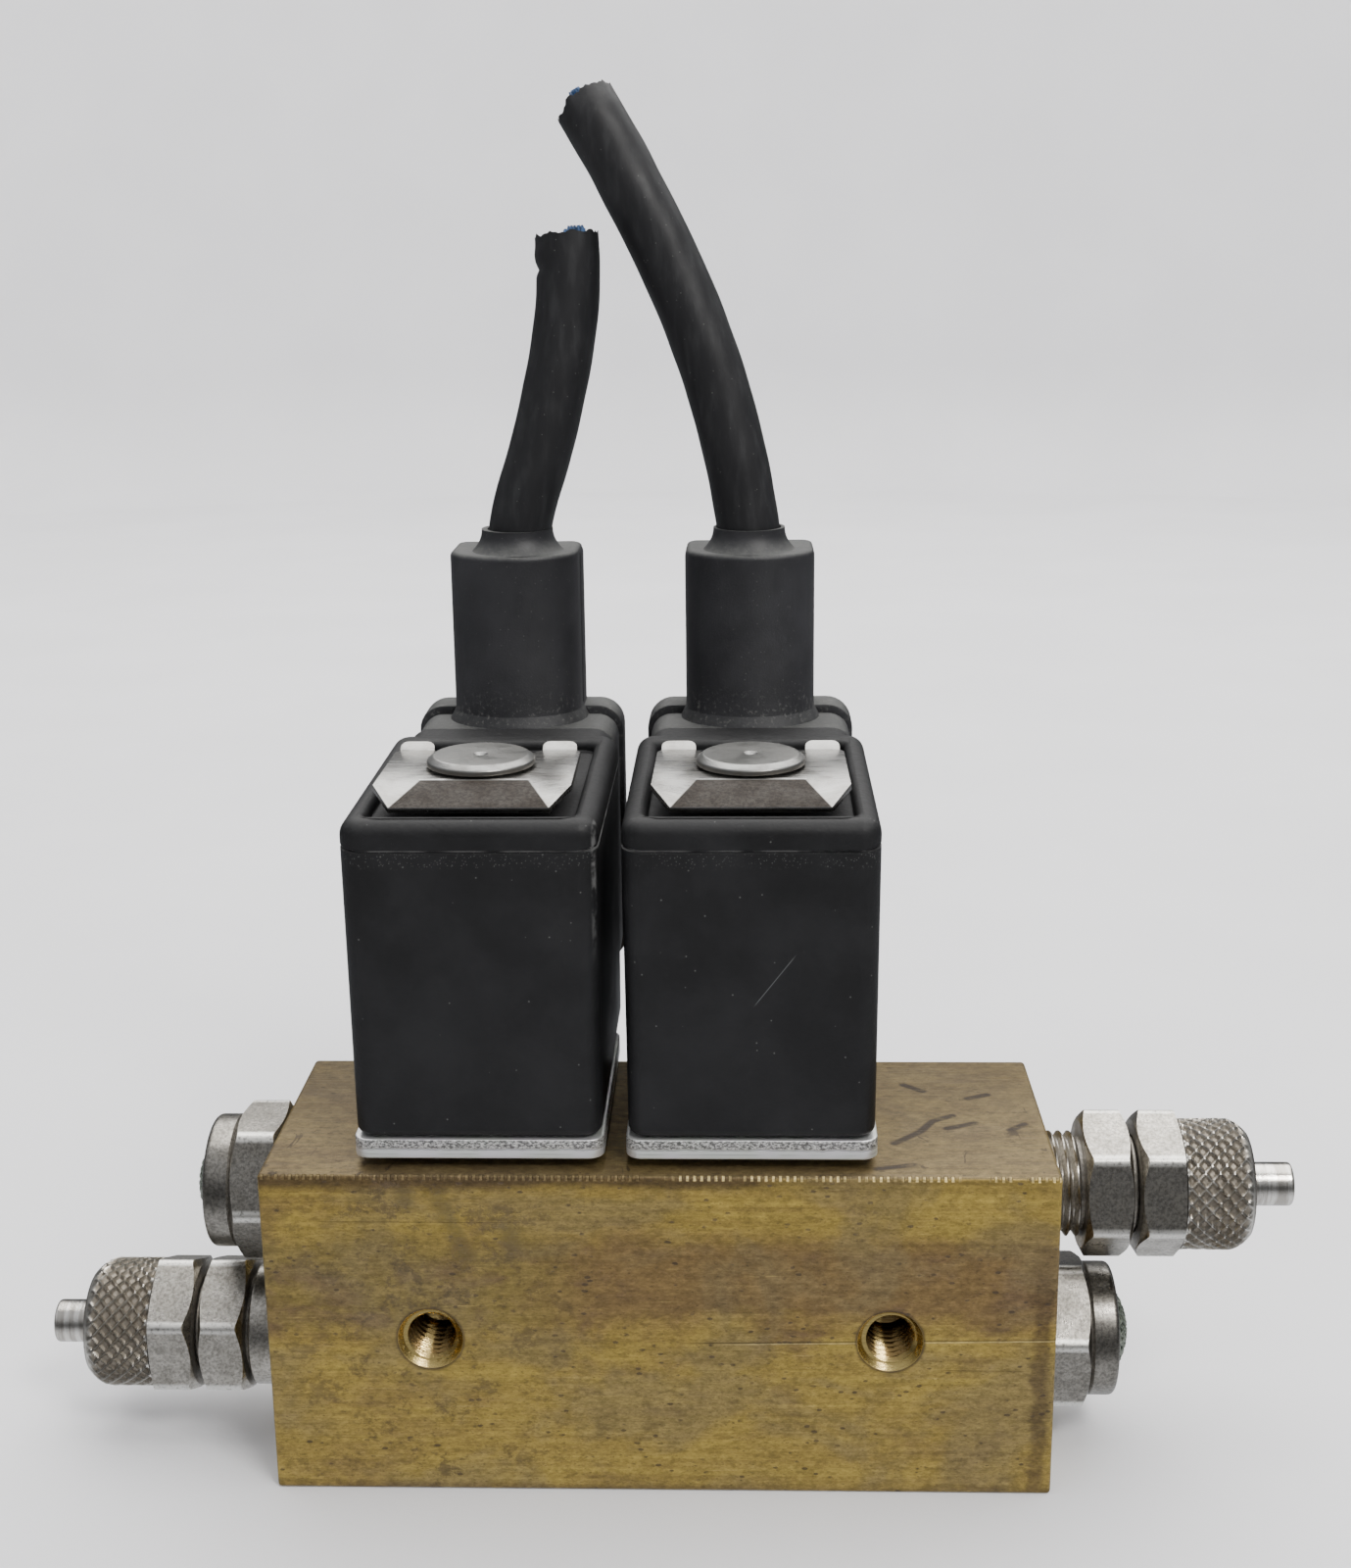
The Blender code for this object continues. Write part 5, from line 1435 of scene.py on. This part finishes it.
def plug_shape(levels):
    """The plug as sections from its front to its back; the front part is also lower."""
    sections = []
    for y, inset in levels:
        extra = PLUG_RAISE - PLUG_INSET if y < PLUG_STEP + 0.05 else 0.0
        rect = (-PLUG_HALF, -PLUG_Z[1] + extra, PLUG_HALF, -PLUG_Z[0] - extra)
        sections.append(layer(y, rect, 2.6, inset))
    return placed(stacked(sections), TO_BACK)


def make_gasket(side):
    back = PLUG_FRONT - 0.15
    front = TERMINAL_BACK + 0.15
    levels = [(front, 0.2), (front + 0.1, 0.04), (front + 0.25, 0)]
    levels += [(back - 0.25, 0), (back - 0.1, 0.04), (back, 0.2)]
    shape = upright(TERMINAL_HALF - 0.4, (TERMINAL_Z[0] + 0.4, TERMINAL_Z[1] - 0.4), 2.0, levels)
    holes = contact_holes(front - 1, back + 1, 0.2)
    holes.append(placed(disc(SCREW_HOLE, front - 1, back + 1, 32), TO_BACK, (0, 0, SCREW_Z)))
    add_coil_piece("flat_seal", side, cut(shape, *holes), SEAL_RUBBER, "connector_gasket")


def make_screw(side):
    """Cheese-head screw with a slot, set in the plug's back."""
    head_back = PLUG_BACK - 0.25
    head_front = PLUG_BACK - 2.1
    outline = filleted(
        [
            (0, 20.2), (1.2, 20.2), (1.5, 20.6), (1.5, head_front, 0.1), (2.8, head_front, 0.1),
            (2.8, head_back - 0.1, 0.35), (1.6, head_back, 0.6), (0, head_back),
        ]
    )
    screw = placed(turned(outline, 64), TO_BACK, (0, 0, SCREW_Z))
    slot = box((-4, head_back - 0.8, SCREW_Z - 0.4), (4, head_back + 1, SCREW_Z + 0.4))
    add_coil_piece("plug_screw", side, cut(screw, slot), ZINC, "connector_screw")


# --- fittings ---


def hexagon(flats, bottom, top, corner, low_reach, high_reach):
    """A hexagon bar with slightly worn corners and turned chamfers at both ends."""
    circle = flats / 2 / cos(pi / 6)
    corners = []
    for step in range(6):
        angle = corner + tau * step / 6
        corners.append((circle * cos(angle), circle * sin(angle), 0.75))
    outline = filleted(corners, 5)
    bar = stacked([[(x, y, z) for x, y in outline] for z in (bottom - 1, top + 1)])
    outside = circle * 1.05
    face = flats / 2 * 0.98
    profile = filleted(
        [
            (0, bottom), (face, bottom, 0.1), (outside, bottom + low_reach), (outside, top - high_reach),
            (face, top, 0.1), (0, top),
        ],
        3,
    )
    return combined(bar, [turned(profile, 128)], "INTERSECT")


def corner_turn(kind, side):
    return -pi / 2 - SIDE_SIGN[side] * CORNER_ANGLE[kind, side]


def add_end_piece(name, side, height, shape, material, body, slot, nodes):
    """A piece that points outwards from one of the block's ends, at a height."""
    place = (SIDE_SIGN[side] * BLOCK_END, 0, height)
    nodes = [f"{node}_{side}" for node in nodes]
    add_piece(f"{name}_{side}", shape, material, body, nodes, OUTWARDS[side], place)


def make_fitting(side):
    shift = FITTING_SHIFT[side]
    hex_start = FITTING_HEX[0] + shift
    hex_end = FITTING_HEX[1] + shift
    spigot_end = SIDE_SIGN[side] * FITTING[side].centre.x + FITTING[side].size.x / 2 - BLOCK_END
    corner = corner_turn("fitting", side)
    neck = 4.5
    if shift:
        shoulder = [(4.85, 0.15), (5.75, 0.15, 0.35), (5.75, hex_start - 0.5, 0.3), (4.6, hex_start - 0.2)]
        shoulder.append((4.6, hex_start + 1))
    else:
        shoulder = [(THREAD_ROOT, -0.6), (THREAD_ROOT, hex_start + 1)]
    outline = filleted(
        [
            (1.4, -8.5), (4.35, -8.5), (4.85, -8.0), (4.85, -0.6), *shoulder, (neck, hex_start + 1),
            (neck, hex_end + 0.5), (neck - 0.3, hex_end + 0.8), (neck - 0.3, CONE[0] + shift),
            (3.0, CONE[0] + shift), (2.0, CONE[1] + shift), (2.0, spigot_end, 0.35), (1.4, spigot_end, 0.12),
        ]
    )
    core = turned(outline, 64)
    bar = hexagon(FITTING_FLATS, hex_start, hex_end, corner, 0.75, 0.75)
    bar = cut(bar, disc(2.9, 0, hex_end + 1, 32))
    parts = [bar]
    if not shift:
        thread = helical(THREAD_ROOT, THREAD_CREST - 0.02, THREAD_PITCH, -1.2, hex_start - 0.35)
        parts.append(cut(thread, disc(3.5, -2, hex_start + 1, 32)))
    shape = joined(core, *parts)
    height = FITTING[side].centre.z
    node = ["fitting_body"]
    add_end_piece("push_on_fitting", side, height, shape, FITTING_NICKEL[side], "manifold", "nickel", node)
    make_nut(side, shift, corner, height)


def knurl(start, end):
    """The knurled end of a nut: fine crossing ridges with pits between, running out at the end."""
    chamfer_start = end - KNURL_CHAMFER
    columns = KNURL_COUNT * 10
    count = round((end - start) / KNURL_PITCH * 10)

    def plain(z):
        if z <= chamfer_start:
            return KNURL_RADIUS
        share = (z - chamfer_start) / KNURL_CHAMFER
        return KNURL_RADIUS - KNURL_DROP * share**2

    def radius_at(angle, z):
        along = z / KNURL_PITCH
        around = KNURL_COUNT * angle / tau
        pits = [1 - abs(2 * ((around + sign * along) % 1) - 1) for sign in (1, -1)]
        fade = min(1.0, max(0.0, (end - 0.3 - z) / 0.9)) * min(1.0, max(0.0, (z - start) / 0.3))
        pit = min(1.0, 2.6 * max(0.0, min(pits) - 0.06))
        return plain(z) - KNURL_DEPTH * pit * fade

    rows = [start + (end - start) * row / count for row in range(count + 1)]
    return wavy(rows, columns, radius_at)


def make_nut(side, shift, corner, height):
    start = NUT_START + shift
    hex_stop = NUT_HEX_END + shift
    end = NUT_END + shift
    tube_hole = 3.1
    bore = filleted(
        [
            (0, start - 1), (4.5, start - 1), (4.5, NUT_CONE[0] + shift), (tube_hole, NUT_CONE[1] + shift),
            (tube_hole, end - 0.25), (tube_hole + 0.3, end), (tube_hole + 0.3, end + 1), (0, end + 1),
        ]
    )
    bar = hexagon(FITTING_FLATS, start, hex_stop, corner, 0.9, 0.25)
    waist = disc(5.55, hex_stop - 1, hex_stop + 0.4)
    body = joined(bar, waist, knurl(hex_stop + 0.08, end))
    shape = cut(body, turned(bore, 64))
    body = f"nut_{side}"
    add_end_piece("clamp_nut", side, height, shape, NUT_NICKEL[side], body, "nickel", ["union_nut"])


# --- silencers ---


def make_silencer(side):
    corner = corner_turn("silencer", side)
    hex_end = 4.4
    end = SILENCER_END
    seat = end - 0.9
    outline = filleted(
        [
            (2.6, -7), (4.35, -7), (4.85, -6.5), (4.85, 1.0), (5.95, hex_end - 1), (5.95, hex_end + 0.1),
            (6.15, hex_end + 0.35), (6.15, end, 1.2), (MESH_SEAT + 0.35, end, 0.15),
            (MESH_SEAT, end - 0.35), (MESH_SEAT, seat), (2.6, seat),
        ],
        8,
    )
    bar = hexagon(SILENCER_FLATS, 0.15, hex_end, corner, 0.6, 0.8)
    bar = cut(bar, disc(3.4, -1, hex_end + 1, 32))
    shape = joined(turned(outline), bar)
    height = SILENCER[side].centre.z
    node = ["silencer_body"]
    add_end_piece("silencer_cup", side, height, shape, SILENCER_NICKEL[side], "manifold", "nickel", node)
    make_mesh(side, seat, height)


def make_mesh(side, seat, height):
    """A dome of woven wires over a darker inner layer."""
    rim = SILENCER_END - 0.2
    top = 8.65
    edge = 4.4
    ball = (edge**2 + (top - rim) ** 2) / (2 * (top - rim))

    def dome(radius, drop=0.0):
        return top - ball + sqrt(ball**2 - radius**2) - drop

    wires = []
    count = int(edge / WIRE_PITCH)
    for direction in (0, 1):
        for number in range(-count, count + 1):
            across = number * WIRE_PITCH
            reach = sqrt(max(0.0, (edge - WIRE) ** 2 - across**2))
            if reach < WIRE_PITCH:
                continue
            steps = max(4, round(2 * reach / WIRE_PITCH) * 4)
            points = []
            for step in range(steps + 1):
                along = -reach + 2 * reach * step / steps
                wave = cos(pi * (along / WIRE_PITCH + number + direction))
                x, y = (along, across) if direction else (across, along)
                points.append((x, y, dome(sqrt(x * x + y * y), 0.25) + 0.8 * WIRE * wave))
            wires.append(swept(points, lambda index, angle: WIRE, 6))
    profile = [(0, seat + 0.1), (edge, seat + 0.1)]
    radii = [edge * cos(pi / 2 * step / 8) for step in range(8)]
    profile += [(radius, dome(radius, 0.5)) for radius in radii]
    profile.append((0, dome(0, 0.5)))
    diagonal = Matrix.Rotation(radians(38), 3, "Z")
    woven = placed(merged(wires), diagonal)
    looks = ("manifold", "wire_mesh")
    add_end_piece("wire_dome", side, height, woven, WIRE_MESH, *looks, ["silencer_mesh"])
    add_end_piece("felt_disc", side, height, turned(profile, 48), DARK_FELT, *looks, [])


# --- studio ---


def make_studio():
    """A pale floor and a pale wall all round it, a soft sky, and two softboxes."""
    p = Paint("pale_studio")
    tone = p.noise(0.02, 3, 0.5)
    p.colour = p.mix(p.ramp(tone, 0.3, 0.7), STUDIO_TONE, tuple(1.04 * value for value in STUDIO_TONE))
    p.bump(p.noise(1.5, 3), 0.02)
    paint = p.finish(0.8)
    floor_edge = STUDIO_RADIUS - STUDIO_BEND
    ground = [(floor_edge * step / 12, 0.0) for step in range(13)]
    wall = [(STUDIO_RADIUS - STUDIO_BEND * short, STUDIO_BEND * rise) for rise, short in quarter(8)]
    wall.append((STUDIO_RADIUS, STUDIO_WALL))
    add_stage("studio_floor", ground, paint).visible_glossy = False
    add_stage("studio_wall", wall, paint).visible_glossy = False

    world = bpy.data.worlds.new("world")
    bpy.context.scene.world = world
    world.use_nodes = True
    tree = world.node_tree

    def node(kind, value, **inputs):
        made = tree.nodes.new("ShaderNode" + kind)
        tree.links.new(value, made.inputs[0])
        for key, number in inputs.items():
            made.inputs[key.replace("_", " ")].default_value = number
        return made

    up = node("SeparateXYZ", tree.nodes.new("ShaderNodeTexCoord").outputs["Generated"]).outputs["Z"]
    total = None
    for edge, strength in ((SKY_TO, SKY_HIGH - SKY_LOW), (-SKY_TO, GROUND_HIGH - SKY_LOW)):
        part = node("MapRange", up, From_Max=edge, To_Max=strength)
        part.interpolation_type = "SMOOTHSTEP"
        both = node("Math", part.outputs[0])
        if total:
            tree.links.new(total, both.inputs[1])
        else:
            both.inputs[1].default_value = SKY_LOW
        total = both.outputs[0]
    background = tree.nodes["Background"]
    tree.links.new(total, background.inputs["Strength"])
    background.inputs["Color"].default_value = (0.93, 0.95, 1.0, 1)
    for name, place, aim, size, power, colour in LIGHTS:
        add_light(name, place, aim, size, power, colour)


def add_stage(name, profile, paint):
    """A surface turned about Z; the profile is in metres."""
    thing = to_object(name, turned(profile, 128, closed=False))
    thing.data.shade_smooth()
    thing.data.materials.append(paint)
    return thing


def add_light(name, place, aim, size, power, colour):
    light = bpy.data.lights.new(name, "AREA")
    light.shape = "SQUARE"
    light.size = size
    light.energy = power
    light.color = colour
    thing = bpy.data.objects.new(name, light)
    bpy.context.collection.objects.link(thing)
    thing.location = place
    thing.rotation_euler = (Vector(aim) - Vector(place)).to_track_quat("-Z", "Y").to_euler()


# --- the whole ---


def repaint_inner_nodes():
    """CAD nodes inside the valve keep their shape and take a finished material."""
    looks = {
        "armature_tube": CORE_STEEL, "plunger": CORE_STEEL, "seat_seal": SEAL_RUBBER,
        "tube_o_ring": SEAL_RUBBER, "bobbin": NYLON, "winding": COPPER, "power_blade_1": ZINC,
        "power_blade_2": ZINC, "earth_blade": ZINC,
    }
    for side in SIDE_SIGN:
        for node, material in looks.items():
            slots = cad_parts[f"{node}_{side}"].data.materials
            slots.clear()
            slots.append(material)


def write_size():
    bpy.context.view_layer.update()


make_camera()
make_studio()
for side in SIDE_SIGN:
    make_cable(side)
make_block()
for side in SIDE_SIGN:
    make_casing(side)
    make_yoke(side)
    make_core(side)
    make_spring(side)
    make_clip(side)
    make_connector(side)
    make_gasket(side)
    make_screw(side)
    make_fitting(side)
    make_silencer(side)
repaint_inner_nodes()
write_size()
